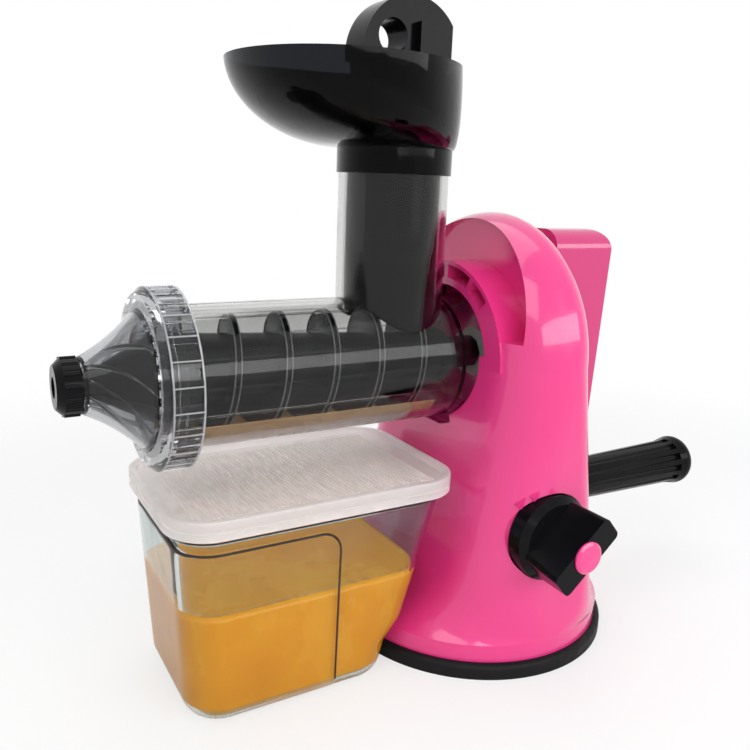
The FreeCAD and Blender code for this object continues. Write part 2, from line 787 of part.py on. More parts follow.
def toothed_wheel(made, teeth, middle, front, back):
    tip = gear_module * (teeth / 2 + 0.95)
    extrude(made, "XZ_Plane", front, back, disc(tip))
    gap = carve(made, "XZ_Plane", front - 1, back + 1, tooth_gap(teeth, middle))
    around(made, gap, "Y_Axis", teeth)


def hexagon(across):
    corner = across / math.sqrt(3)
    return outline([polar(corner, 60 * step) for step in range(6)])


gear_front = gear_width - gear_back


def drive_gear():
    made = body("drive_gear", 0, 0, barrel_height)
    front = -gear_front
    toothed_wheel(made, gear_teeth, 90, front, gear_back)
    hub_front = -(web_back + web_thickness)
    extrude(made, "XZ_Plane", hub_front, gear_back, disc(gear_hub_radius))
    extrude(made, "XZ_Plane", gear_back - 1, gear_back + gear_journal_length, disc(gear_journal_radius))
    # The web between rim and hub is thinned from both sides.
    ring = sector_ring(gear_hub_radius + 1.5, gear_module * (gear_teeth / 2 - 2.6))
    carve(made, "XZ_Plane", front - 1, front + gear_width / 3, *ring)
    carve(made, "XZ_Plane", gear_back - gear_width / 3, gear_back + 1, *ring)
    carve(made, "XZ_Plane", hub_front - 1, hub_front + drive_depth, hexagon(drive_across + 2 * running_gap))
    return made


def sector_ring(inner, outer):
    return [disc(outer), disc(inner)]


def crank_pinion():
    made = body("crank_pinion", 0, 0, crank_height)
    toothed_wheel(made, pinion_teeth, -90 + 180 / pinion_teeth, -gear_front, gear_back)
    carve(made, "XZ_Plane", -gear_front - 1, gear_back + 1, disc(shaft_radius + press_gap))
    return made


shaft_front = -(web_back + 2.5)
shaft_back = arm_front + 24.5
hub_floor = shaft_back + seat_gap
hub_back = hub_floor + 3.7
arm_screw_radius = 2


def crank_shaft():
    made = body("crank_shaft", 0, 0, crank_height)
    corners = [(shaft_front, 0), (shaft_front, shaft_radius), (shaft_back - 1, shaft_radius),
               (shaft_back, shaft_radius - 1), (shaft_back, 0)]
    along_barrel(made, corners)
    carve(made, "XZ_Plane", shaft_back - 13, shaft_back + 1, disc(arm_screw_radius + press_gap))
    return made


def crank_bush():
    made = body("crank_bush", 0, 0, crank_height)
    outer = shaft_radius + bush_wall
    inner = shaft_radius + running_gap / 2
    front, back = gear_back + 2, body_back + bush_stand
    along_barrel(made, [(front, inner), (front, outer), (back, outer), (back, inner)])
    return made


def arm_outline(inset=0):
    half = arm_half_width - inset
    return soft_rectangle(-half, half, -(crank_length + arm_half_width) + inset, arm_top - inset,
                          half - 0.5, arm_round - inset / 2)


def crank_arm():
    made = body("crank_arm", 0, 0, crank_height)
    back = arm_front + arm_depth
    low = -(crank_length + arm_half_width + 3)
    extrude(made, "XZ_Plane", arm_front, back + 2, arm_outline())
    # The back leans forward towards the grip and is rounded over at the top.
    slope = [
        (back - arm_round, arm_top), (back, arm_top - arm_round), (back - arm_taper, low),
        (back + 5, low), (back + 5, arm_top + 3), (back - arm_round, arm_top + 3),
    ]
    carve(made, "YZ_Plane", -(arm_half_width + 1), arm_half_width + 1, outline(slope, {0: -arm_round}))
    carve(made, "XZ_Plane", arm_front - 1, hub_floor, arm_outline(arm_wall))
    extrude(made, "XZ_Plane", body_back + bush_stand + 2 * seat_gap, hub_floor, disc(shaft_radius + 4))
    extrude(made, "XZ_Plane", arm_front + 2, hub_floor, disc(pin_radius + 4, 0, -crank_length))
    rib = arm_wall / 2.5
    extrude(made, "XZ_Plane", arm_front + 4, hub_floor, rectangle(-rib, rib, 6 - crank_length, -7))
    carve(made, "XZ_Plane", arm_front - 15, hub_floor, disc(shaft_radius + press_gap))
    carve(made, "XZ_Plane", hub_floor - 1, hub_back + 1, disc(arm_screw_radius + 0.2))
    carve(made, "XZ_Plane", hub_back, back + 2, disc(6))
    carve(made, "XZ_Plane", pin_front, back + 2, disc(pin_radius + press_gap, 0, -crank_length))
    return made


def arm_screw():
    made = body("arm_screw", 0, 0, crank_height)
    corners = [(shaft_back - 11, 0), (shaft_back - 11, arm_screw_radius), (hub_back, arm_screw_radius),
               (hub_back, 4.5), (hub_back + 1.8, 4.5), (hub_back + 2.8, 3.4), (hub_back + 2.8, 0)]
    along_barrel(made, corners)
    carve(made, "XZ_Plane", hub_back + 1.2, hub_back + 4, hexagon(3))
    return made


def arm_plug():
    made = body("arm_plug", 0, 0, crank_height)
    front = hub_back + 3.2
    radius = 6 - 0.05
    corners = [(front, 0), (front, radius), (front + 3.4, radius), (front + 4.2, radius - 0.8), (front + 4.2, 0)]
    along_barrel(made, corners)
    return made


pin_front = arm_front + 8
arm_back_at_grip = arm_front + arm_depth - arm_taper * 0.87
grip_front = arm_back_at_grip + 0.6
grip_back = grip_front + grip_length
pin_back = grip_back - 11


def grip_pin():
    made = body("grip_pin", 0, 0, grip_height)
    corners = [(pin_front, 0), (pin_front, pin_radius), (pin_back - 1, pin_radius),
               (pin_back, pin_radius - 1), (pin_back, 0)]
    along_barrel(made, corners)
    return made


def crank_grip():
    made = body("crank_grip", 0, 0, grip_height)
    waist = grip_back - 18
    corners = [
        (grip_front, 0), (grip_front, grip_radius - 1), (grip_front + 1, grip_radius), (waist, grip_waist),
        (grip_back - 9, grip_bulge), (grip_back - 2.5, grip_bulge - 3), (grip_back, 0),
    ]
    along_barrel(made, corners, {3: 40, 4: -6, 5: -28})
    flute = carve(made, "XZ_Plane", grip_front + 3, grip_back - 13, disc(2, 0, grip_waist + 0.5))
    around(made, flute, "Y_Axis", flutes)
    carve(made, "XZ_Plane", grip_front - 1, pin_back + 1.5, disc(pin_radius + running_gap))
    return made


# Suction knob.

knob_turn = Rotation(Vector(1, 0, 0), knob_angle)


def suction_knob():
    made = body("suction_knob", 0, knob_place, knob_height, knob_turn)
    corners = [(knob_sunk, 0), (knob_sunk, knob_radius), (knob_side, knob_radius), (knob_front, knob_rim),
               (knob_front, 0)]
    turned(made, "XZ_Plane", "H_Axis", corners)
    # A tapered bar to hold, with softened corners.
    half_foot, half_top = knob_bar_foot / 2, knob_bar_top / 2
    reach = knob_bar_length / 2
    foot = soft_rectangle(1 - reach, reach - 1, -half_foot, half_foot, 3)
    face = soft_rectangle(-reach, reach, -half_top, half_top, 2.5)
    loft(made, "YZ_Plane", [(knob_front - 0.5, foot), (knob_face, face)], ruled=True)
    carve(made, "YZ_Plane", knob_face - 1.5, knob_face + 1, disc(button_radius - 1))
    carve(made, "YZ_Plane", knob_sunk - 1, knob_front + 4, disc(cam_shaft_radius + press_gap))
    return made


def knob_button():
    made = body("knob_button", 0, knob_place, knob_height)
    inner = button_radius - 1 - 0.05
    corners = [
        (knob_face - 1.4, 0), (knob_face - 1.4, inner), (knob_face, inner), (knob_face, button_radius),
        (knob_face + 0.8, button_radius), (knob_face + 1.6, button_radius - 1.2), (knob_face + 1.9, 0),
    ]
    turned(made, "XZ_Plane", "H_Axis", corners)
    return made


def cam_shaft():
    made = body("cam_shaft", 0, knob_place, knob_height)
    outer = knob_front + 3
    inner = -(bearer_gap + bearer_thickness + 2)
    turned(made, "XZ_Plane", "H_Axis",
           [(inner, 0), (inner, cam_shaft_radius), (outer, cam_shaft_radius), (outer, 0)])
    side = cam_offset * math.sqrt(0.5)
    half = cam_width / 2
    extrude(made, "YZ_Plane", -half, half, disc(cam_radius, side, -side))
    return made


def pull_rod():
    made = body("pull_rod")
    side = cam_offset * math.sqrt(0.5)
    middle = knob_height - side
    tall = cam_radius + 2 * seat_gap / 1.3
    near, far = knob_place + side - cam_radius - 0.6, knob_place + cam_offset + cam_radius + 0.6
    half = cam_width / 2 + 0.5
    frame = rectangle(near - 4, far + 4, middle - tall - 4, middle + tall + 4)
    window = rectangle(near, far, middle - tall, middle + tall)
    extrude(made, "YZ_Plane", -half, half, frame)
    extrude(made, "XY_Plane", foot_lift + foot_skin + seat_gap, middle - tall - 3, disc(rod_radius))
    carve(made, "YZ_Plane", -half - 1, half + 1, window)
    return made


# Barrel.

def tooth_lug(first, last):
    return sector(barrel_radius - 1.5, lug_radius, first, last)


barrel_inner = barrel_radius - barrel_wall


def juice_barrel():
    made = body("juice_barrel", 0, 0, barrel_height)
    front, back = -barrel_front, -barrel_back
    along_barrel(made, [
        (front, 0), (front, thread_radius), (front + thread_length, thread_radius),
        (front + thread_length + 1.5, barrel_radius), (back, barrel_radius), (back, 0),
    ])
    rise = tube_shoulder - barrel_height
    extrude(made, "XY_Plane", 0, rise, disc(tube_radius, 0, tube_axis))
    extrude(made, "XY_Plane", rise - 1, rise + tube_neck, disc(tube_neck_radius, 0, tube_axis))
    lug_back = -(web_back + web_thickness + 7.5)
    for first in (112, 292):
        extrude(made, "XZ_Plane", lug_back - lug_thickness, lug_back, tooth_lug(first, first + 40))
    bulkhead = -barrel_bulkhead
    carve(made, "XZ_Plane", front - 1, bulkhead, disc(barrel_inner))
    carve(made, "XZ_Plane", bulkhead + bulkhead_thickness, back + 1, disc(barrel_radius - 5))
    carve(made, "XZ_Plane", bulkhead - 1, back + 1, disc(auger_neck + running_gap))
    carve(made, "XY_Plane", barrel_inner - 12, rise + tube_neck + 1, disc(tube_bore, 0, tube_axis))
    # A row of juice slots along the underside.
    half = slot_length / 2
    first = bulkhead - 12
    slot = carve(made, "XY_Plane", -barrel_radius - 1, 8 - barrel_radius,
                 rectangle(-half, half, first - slot_width, first))
    in_row(made, slot, "Y_Axis", -slot_pitch, 12)
    return made


def auger_seal():
    made = body("auger_seal", 0, 0, barrel_height)
    front = bulkhead_thickness - barrel_bulkhead
    inner = auger_neck + running_gap
    corners = [(front, inner), (front, auger_neck + 5), (front + 2, auger_neck + 5), (front + 4, auger_neck + 2.5),
               (front + 4, inner)]
    along_barrel(made, corners)
    return made


def auger():
    made = body("auger", 0, 0, barrel_height)
    back_face = -(barrel_bulkhead + seat_gap)
    front_face = -(barrel_front - 1)
    tail = -(web_back + web_thickness - 0.2)
    nose = -(barrel_front + cone_length + nose_length - 2)
    along_barrel(made, [
        (nose, 0), (nose, tip_radius - 1), (nose + 1, tip_radius), (nose + 9, tip_radius + 1.5),
        (front_face - 6, auger_core_front), (front_face, auger_core_front), (back_face, auger_core_back),
        (back_face, auger_neck), (tail - 2, auger_neck), (tail - 2, 0),
    ])
    extrude(made, "XZ_Plane", tail - 3, drive_depth + tail - 1, hexagon(drive_across))
    # One long helical flight; its foot is sunk in the tapered core.
    start = front_face + 4
    half_foot, half_edge = flight_thickness / 2 + 0.7, flight_thickness / 2
    flight = sketch(made, "YZ_Plane")
    outline([(start - half_foot, auger_core_back - 3), (start + half_foot, auger_core_back - 3),
             (start + half_edge, auger_radius), (start - half_edge, auger_radius)])(flight)
    helix = made.newObject("PartDesign::AdditiveHelix", "auger_flight")
    helix.Profile = flight
    helix.ReferenceAxis = (flight, ["H_Axis"])
    helix.Mode = "pitch-height-angle"
    helix.LeftHanded = True
    bind(helix, "Pitch", flight_pitch)
    bind(helix, "Height", barrel_front - barrel_bulkhead - 10)
    return made


# Front of the barrel.

ring_front = -(barrel_front + flange_thickness + 2 * seat_gap + 6.4)
lip_back = -(barrel_front + flange_thickness + 2 * seat_gap)


def lock_ring():
    made = body("lock_ring", 0, 0, barrel_height)
    back = ring_front + ring_length
    inner = thread_radius + running_gap
    mouth = cone_shoulder + seat_gap
    along_barrel(made, [
        (ring_front, mouth), (ring_front, ring_radius - 2.4), (ring_front + 2.7, ring_radius),
        (back - ring_bevel, ring_radius), (back, ring_radius - ring_bevel), (back, inner), (lip_back, inner),
        (lip_back, mouth),
    ])
    half = notch_width / 2
    notch = carve(made, "XZ_Plane", ring_front + 3.2, back + 1,
                  rectangle(-half, half, ring_radius - notch_depth, ring_radius + 2))
    around(made, notch, "Y_Axis", ring_ribs)
    return made


cone_back = -(barrel_front + seat_gap)
cone_flange = cone_back - flange_thickness
cone_front = cone_back - cone_length
nose_front = cone_front - nose_length


def nozzle_cone():
    made = body("nozzle_cone", 0, 0, barrel_height)
    mouth = ring_front - 0.4
    inner_nose = nose_radius - cone_wall + 0.2
    along_barrel(made, [
        (cone_back, thread_radius), (cone_flange, thread_radius), (cone_flange, cone_shoulder),
        (mouth, cone_shoulder), (cone_front, cap_radius), (cone_front, nose_radius), (nose_front, nose_radius),
        (nose_front, inner_nose), (cone_front + 2, inner_nose), (cone_front + 2.6, cap_radius - cone_wall),
        (mouth, cone_shoulder - cone_wall), (cone_back, barrel_inner),
    ], {3: -cone_hollow, 9: cone_hollow})
    return made


def pulp_cap():
    made = body("pulp_cap", 0, 0, barrel_height)
    back = cone_front - seat_gap
    front = back - cap_length
    inner = nose_radius + running_gap
    floor = nose_front - seat_gap
    along_barrel(made, [
        (back, inner), (back, cap_radius), (front + cap_bevel, cap_radius), (front, cap_radius - cap_bevel),
        (front, pulp_hole), (floor, pulp_hole), (floor, inner),
    ])
    ridge = extrude(made, "XZ_Plane", front + cap_bevel, back - 0.6, disc(1, 0, cap_radius - 0.3))
    around(made, ridge, "Y_Axis", 14)
    return made


# Hopper and pusher.

sleeve_top = tube_shoulder + tube_neck + seat_gap
bowl_bottom = sleeve_top - 2.6


def bowl_levels(inset):
    # Circles that share their rearmost point, from the sleeve to the rim, along a quarter ellipse.
    levels = []
    for share in (0, 0.06, 0.16, 0.3, 0.5, 0.74, 1):
        swell = math.sqrt(1 - (1 - share) ** 2)
        low = bowl_bottom + (hopper_floor if inset else 0)
        height = low + (hopper_rim - low) * share
        outer = sleeve_radius + (hopper_radius - sleeve_radius) * swell
        rear = -(tube_place - sleeve_radius) + (tube_place - sleeve_radius - hopper_back) * share
        radius = outer - hopper_wall if inset else outer
        levels.append((height, disc(radius, 0, rear - outer)))
    return levels


def feed_hopper():
    made = body("feed_hopper")
    loft(made, "XY_Plane", bowl_levels(False))
    extrude(made, "XY_Plane", tube_shoulder + 0.05, bowl_bottom + 1, disc(sleeve_radius, 0, tube_axis))
    loft(made, "XY_Plane", bowl_levels(True), cut=True)
    carve(made, "XY_Plane", tube_shoulder - 1, sleeve_top, disc(tube_neck_radius + running_gap, 0, tube_axis))
    carve(made, "XY_Plane", sleeve_top - 1, hopper_rim, disc(tube_bore + 0.2, 0, tube_axis))
    return made


def food_pusher():
    made = body("food_pusher", 0, tube_axis, 0)
    foot = barrel_height + 12
    extrude(made, "XY_Plane", foot, pusher_top, disc(pusher_radius))
    # The foot is hollowed to lie over the auger, and the upper part is flat in front.
    clear = auger_radius + 1.6
    carve(made, "XZ_Plane", -pusher_radius - 1, pusher_radius + 1, disc(clear, 0, barrel_height))
    carve(made, "XY_Plane", tube_shoulder - 33, pusher_top + 1,
          rectangle(-pusher_radius - 1, pusher_radius + 1, -pusher_radius - 1, -pusher_flat))
    half = head_disc_width / 2
    disc_low = hopper_rim + 1.5
    radius = head_disc_radius
    middle, level = head_disc_shift, head_disc_height
    front = middle - root(radius * radius - (level - disc_low) * (level - disc_low))
    rise = root(radius * radius - (head_disc_back - middle) * (head_disc_back - middle))
    shape = [(front, disc_low), (head_disc_back, disc_low), (head_disc_back, level + rise),
             (middle, level + radius), (middle - radius, level)]
    extrude(made, "YZ_Plane", -half, half, outline(shape, {2: radius, 3: radius, 4: radius}))
    # A stepped thumb rest on both sides of the disc.
    wide = rest_width / 2
    extrude(made, "YZ_Plane", -wide, wide, rectangle(rest_front, rest_back, disc_low, rest_height))
    carve(made, "YZ_Plane", -half - 1, half + 1, disc(finger_radius, middle - 10, level + 7))
    return made


# Cup and lid.

def cup_sides(height, out):
    # Half width, far end and near end at a height; the near end steps over the base, then leans out.
    share = height / cup_height
    side = cup_half_width + cup_flare_side * share + out
    far = cup_far + cup_flare_far * share + out
    knees = [(sized(0), cup_near), (cup_step, cup_hip), (cup_shoulder_height, cup_shoulder), (cup_height, cup_brim)]
    for (low, start), (high, end) in zip(knees, knees[1:]):
        if height.value <= high.value:
            return side, far, start - (start - end) * (height - low) / (high - low) - out


def cup_section(height, out=0):
    side, far, near = cup_sides(height, out)
    return soft_rectangle(-side, side, -far, -near, cup_round + out)


def panel_section(height, out):
    side, far, near = cup_sides(height, out)
    turn = cup_round + out
    return outline([(-side, turn - far), (turn - side, -far), (side - turn, -far), (side, turn - far),
                    (side, -panel_end), (-side, -panel_end)], {0: turn, 2: turn})


def inset_at(height, radius):
    # How far a rounded bottom edge of this radius draws the wall in at a height.
    rest = radius - height
    return radius - root(radius * radius - rest * rest)


def cup_levels(low, high, radius, section, out):
    # Sections from low to high whose bottom edge is rounded by radius.
    levels = []
    for share in (0, 0.14, 0.42, 1):
        height = radius * share
        levels.append((low + height, section(low + height, out - inset_at(height, radius))))
    levels.append((cup_step, section(cup_step, out)))
    levels.append((cup_shoulder_height, section(cup_shoulder_height, out)))
    levels.append((high, section(high, out)))
    return levels


def juice_cup():
    made = body("juice_cup")
    top = cup_height
    radius = cup_bottom_round
    loft(made, "XY_Plane", cup_levels(sized(0), top, radius, cup_section, sized(0)), ruled=True)
    # The front half of the wall stands out as a panel.
    loft(made, "XY_Plane", cup_levels(sized(0), panel_height, radius, panel_section, panel_stand), ruled=True)
    extrude(made, "XY_Plane", top - 2, top, cup_section(top, cup_flange))
    inner = cup_levels(cup_wall, top, radius - cup_wall, cup_section, -cup_wall)
    loft(made, "XY_Plane", inner, cut=True, ruled=True)
    return made


lid_under = cup_height + 0.05


def cup_lid():
    made = body("cup_lid")
    skirt_inner = cup_flange + 0.4
    skirt_outer = skirt_inner + 1.8
    top = lid_under + lid_thickness
    extrude(made, "XY_Plane", cup_height - lid_skirt, top + lid_rim, cup_section(cup_height, skirt_outer))
    carve(made, "XY_Plane", cup_height - lid_skirt - 1, lid_under, cup_section(cup_height, skirt_inner))
    carve(made, "XY_Plane", top, top + lid_rim + 1, cup_section(cup_height, skirt_outer - 3.4))
    # Fine parallel ribs across the top.
    far = cup_far + cup_flare_far - 8
    side = cup_half_width + cup_flare_side - 4
    rib = extrude(made, "XY_Plane", top - 0.5, top + rib_height, rectangle(-side, side, -far, rib_width - far))
    in_row(made, rib, "Y_Axis", rib_pitch, 35)
    return made


seat = seam_place + screw_seat
for build in (suction_foot, base_plate, front_housing, rear_cover, crank_bush, drive_gear, crank_shaft,
              crank_pinion, crank_arm, arm_screw, arm_plug, grip_pin, crank_grip, cam_shaft, suction_knob,
              knob_button, pull_rod, juice_barrel, auger_seal, auger, lock_ring, nozzle_cone, pulp_cap,
              feed_hopper, food_pusher, juice_cup, cup_lid):
    build()
screw_set("housing_screws", [(side * x, seat, z) for x, z in screw_spots for side in (-1, 1)], 16, (0, 1, 0))
head_seat = plate_bottom + screw_head + 0.2
screw_set("plate_screws", [(side * x, y, head_seat) for x, y in plate_bosses for side in (-1, 1)], 11, (0, 0, -1))

doc.recompute()

# A failed object, an empty shape or a cut that took nothing away stops the build.
for item in doc.Objects:
    if "Invalid" in item.State or "Error" in item.State:
        raise RuntimeError(f"{item.Label} failed: {item.State}")
    adds = item.TypeId in ("PartDesign::Pad", "PartDesign::Revolution", "PartDesign::AdditiveLoft",
                           "PartDesign::AdditiveHelix")
    cuts = item.TypeId in ("PartDesign::Pocket", "PartDesign::Groove", "PartDesign::SubtractiveLoft")
    before = getattr(item, "BaseFeature", None)
    if before and (adds or cuts):
        change = item.Shape.Volume - before.Shape.Volume
        if (adds and change < 0.01) or (cuts and change > -0.01):
            raise RuntimeError(f"{item.Label} changes the volume by {change}")

os.makedirs("parts", exist_ok=True)
for name, made in parts.items():
    shape = made.Shape
    if shape.isNull() or not shape.isValid():
        raise RuntimeError(f"{name} has no valid shape")
    shape.exportStep(f"parts/{name}.step")
    print(name, len(shape.Solids), "solid", round(shape.Volume / 1000, 2), "cm3")
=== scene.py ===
import json
import math

import bmesh
import bpy
from mathutils import Matrix, Vector
from mathutils.bvhtree import BVHTree

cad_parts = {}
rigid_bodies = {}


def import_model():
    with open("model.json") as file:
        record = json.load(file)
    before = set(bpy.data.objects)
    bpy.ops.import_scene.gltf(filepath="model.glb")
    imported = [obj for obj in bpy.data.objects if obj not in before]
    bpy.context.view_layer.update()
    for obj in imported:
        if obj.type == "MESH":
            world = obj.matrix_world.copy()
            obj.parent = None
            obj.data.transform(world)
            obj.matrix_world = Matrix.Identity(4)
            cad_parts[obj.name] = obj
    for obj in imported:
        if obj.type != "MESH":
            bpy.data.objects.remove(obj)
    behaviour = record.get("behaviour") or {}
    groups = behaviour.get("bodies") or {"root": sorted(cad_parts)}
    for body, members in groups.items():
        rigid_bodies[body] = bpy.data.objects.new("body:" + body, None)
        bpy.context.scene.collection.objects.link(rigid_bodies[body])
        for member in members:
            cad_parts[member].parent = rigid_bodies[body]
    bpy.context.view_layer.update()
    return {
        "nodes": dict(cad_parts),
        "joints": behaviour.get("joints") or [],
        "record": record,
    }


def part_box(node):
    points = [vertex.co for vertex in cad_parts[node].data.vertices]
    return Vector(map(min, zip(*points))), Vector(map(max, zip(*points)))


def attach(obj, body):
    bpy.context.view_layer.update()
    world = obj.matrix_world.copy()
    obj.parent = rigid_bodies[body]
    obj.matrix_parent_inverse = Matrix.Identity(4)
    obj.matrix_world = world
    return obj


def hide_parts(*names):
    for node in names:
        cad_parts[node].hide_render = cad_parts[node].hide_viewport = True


for leftover in list(bpy.data.objects):
    bpy.data.objects.remove(leftover)

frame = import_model()
nodes = frame["nodes"]
mm = 0.001
sharpAngle = math.radians(38)  # edges that turn more than this stay crisp
joints = {row["name"]: row for row in frame["joints"]}
barrelHeight = joints["auger_turn"]["pos_m"][2]  # the barrel's axis runs along Y at this height
barrelBore = 26.5 * mm  # radius of the barrel's inside
print("frame loaded:", len(nodes), "nodes")


# Small helpers for shader trees.

noiseMiddle = {"From Min": 0.35, "From Max": 0.65}  # a noise pattern's values lie mostly between these


def newMaterial(name):
    material = bpy.data.materials.new(name)
    material.use_nodes = True
    material.node_tree.nodes.clear()
    return material, material.node_tree


def addNode(tree, kind, sockets=None, **settings):
    node = tree.nodes.new(kind)
    for key, value in settings.items():
        setattr(node, key, value)
    for key, value in (sockets or {}).items():
        node.inputs[key].default_value = value
    return node


def objectPlace(tree, stretch=(1, 1, 1)):
    place = addNode(tree, "ShaderNodeTexCoord")
    mapping = addNode(tree, "ShaderNodeMapping", {"Scale": stretch})
    tree.links.new(place.outputs["Object"], mapping.inputs["Vector"])
    return mapping.outputs["Vector"]


def noiseAt(tree, place, scale, detail, roughness=0.5):
    noise = addNode(tree, "ShaderNodeTexNoise", {"Scale": scale, "Detail": detail, "Roughness": roughness})
    tree.links.new(place, noise.inputs["Vector"])
    return noise.outputs["Fac"]


def ramp(tree, fac, stops):
    node = addNode(tree, "ShaderNodeValToRGB")
    elements = node.color_ramp.elements
    while len(elements) < len(stops):
        elements.new(0.5)
    for element, (spot, colour) in zip(elements, stops):
        element.position = spot
        element.color = (*colour, 1)
    tree.links.new(fac, node.inputs["Fac"])
    return node.outputs["Color"]


def spread(tree, fac, low, high):
    node = addNode(tree, "ShaderNodeMapRange", {**noiseMiddle, "To Min": low, "To Max": high})
    tree.links.new(fac, node.inputs["Value"])
    return node.outputs["Result"]


def bump(tree, height, strength, distance, under=None):
    node = addNode(tree, "ShaderNodeBump", {"Strength": strength, "Distance": distance})
    tree.links.new(height, node.inputs["Height"])
    if under is not None:
        tree.links.new(under, node.inputs["Normal"])
    return node.outputs["Normal"]


def finishMaterial(tree, shader):
    out = addNode(tree, "ShaderNodeOutputMaterial")
    tree.links.new(shader, out.inputs["Surface"])


def dress(mesh, material):
    mesh.materials.clear()
    mesh.materials.append(material)


# Opaque mouldings, rubber and steel: the colour drifts a little, the roughness has a fine mottle,
# and the skin is uneven.

skin = {
    "drift": 14,  # noise scales
    "mottle": 260,
    "slow": 30,
    "driftEnds": (0.3, 0.7),  # the deep colour lies below the first, the pale one above the second
    "mottleRange": (0.85, 1.2),  # times the roughness that is given
    "grainDepth": 0.2 * mm,
    "slowDepth": 4 * mm,
}


def mouldedPlastic(name, pale, deep, roughness, gloss, grain=900, grainStrength=0.02, waves=0.03):
    material, tree = newMaterial(name)
    place = objectPlace(tree)
    shader = addNode(tree, "ShaderNodeBsdfPrincipled", gloss)
    drift = noiseAt(tree, place, skin["drift"], 2)
    stops = list(zip(skin["driftEnds"], (deep, pale)))
    tree.links.new(ramp(tree, drift, stops), shader.inputs["Base Color"])
    mottle = noiseAt(tree, place, skin["mottle"], 4)
    low, high = skin["mottleRange"]
    tree.links.new(spread(tree, mottle, roughness * low, roughness * high), shader.inputs["Roughness"])
    fine = bump(tree, noiseAt(tree, place, grain, 2), grainStrength, skin["grainDepth"])
    slow = bump(tree, noiseAt(tree, place, skin["slow"], 1), waves, skin["slowDepth"], fine)
    tree.links.new(slow, shader.inputs["Normal"])
    finishMaterial(tree, shader.outputs["BSDF"])
    return material


# Clear plastics: light passes them in shadow, so that what is inside stays lit. Shine scales the
# reflection, and milk is the share that scatters.

clearSkin = {
    "mottle": 120,
    "mottleRange": (0.7, 1.5),
    "flow": 45,  # slow waves, longer along the mould's flow
    "flowStretch": (1, 0.35, 1),
    "flowDepth": 3 * mm,
    "fine": 1400,
    "fineStrength": 0.015,
    "fineDepth": 0.1 * mm,
}


def clearPlastic(name, tint, roughness, shadow, waves=0.05, ior=1.47, shine=1.0, milk=0.0):
    material, tree = newMaterial(name)
    place = objectPlace(tree)
    shader = addNode(tree, "ShaderNodeBsdfPrincipled", {
        "Base Color": (*tint, 1), "Transmission Weight": 1 - milk, "IOR": ior,
        "Specular Tint": (shine, shine, shine, 1)})
    mottle = noiseAt(tree, place, clearSkin["mottle"], 3)
    low, high = clearSkin["mottleRange"]
    tree.links.new(spread(tree, mottle, roughness * low, roughness * high), shader.inputs["Roughness"])
    flow = noiseAt(tree, objectPlace(tree, clearSkin["flowStretch"]), clearSkin["flow"], 2)
    slow = bump(tree, flow, waves, clearSkin["flowDepth"])
    fine = noiseAt(tree, place, clearSkin["fine"], 2)
    normal = bump(tree, fine, clearSkin["fineStrength"], clearSkin["fineDepth"], slow)
    tree.links.new(normal, shader.inputs["Normal"])
    through = addNode(tree, "ShaderNodeBsdfTransparent", {"Color": (*shadow, 1)})
    path = addNode(tree, "ShaderNodeLightPath")
    mix = addNode(tree, "ShaderNodeMixShader")
    tree.links.new(path.outputs["Is Shadow Ray"], mix.inputs["Fac"])
    tree.links.new(shader.outputs["BSDF"], mix.inputs[1])
    tree.links.new(through.outputs["BSDF"], mix.inputs[2])
    finishMaterial(tree, mix.outputs["Shader"])
    return material


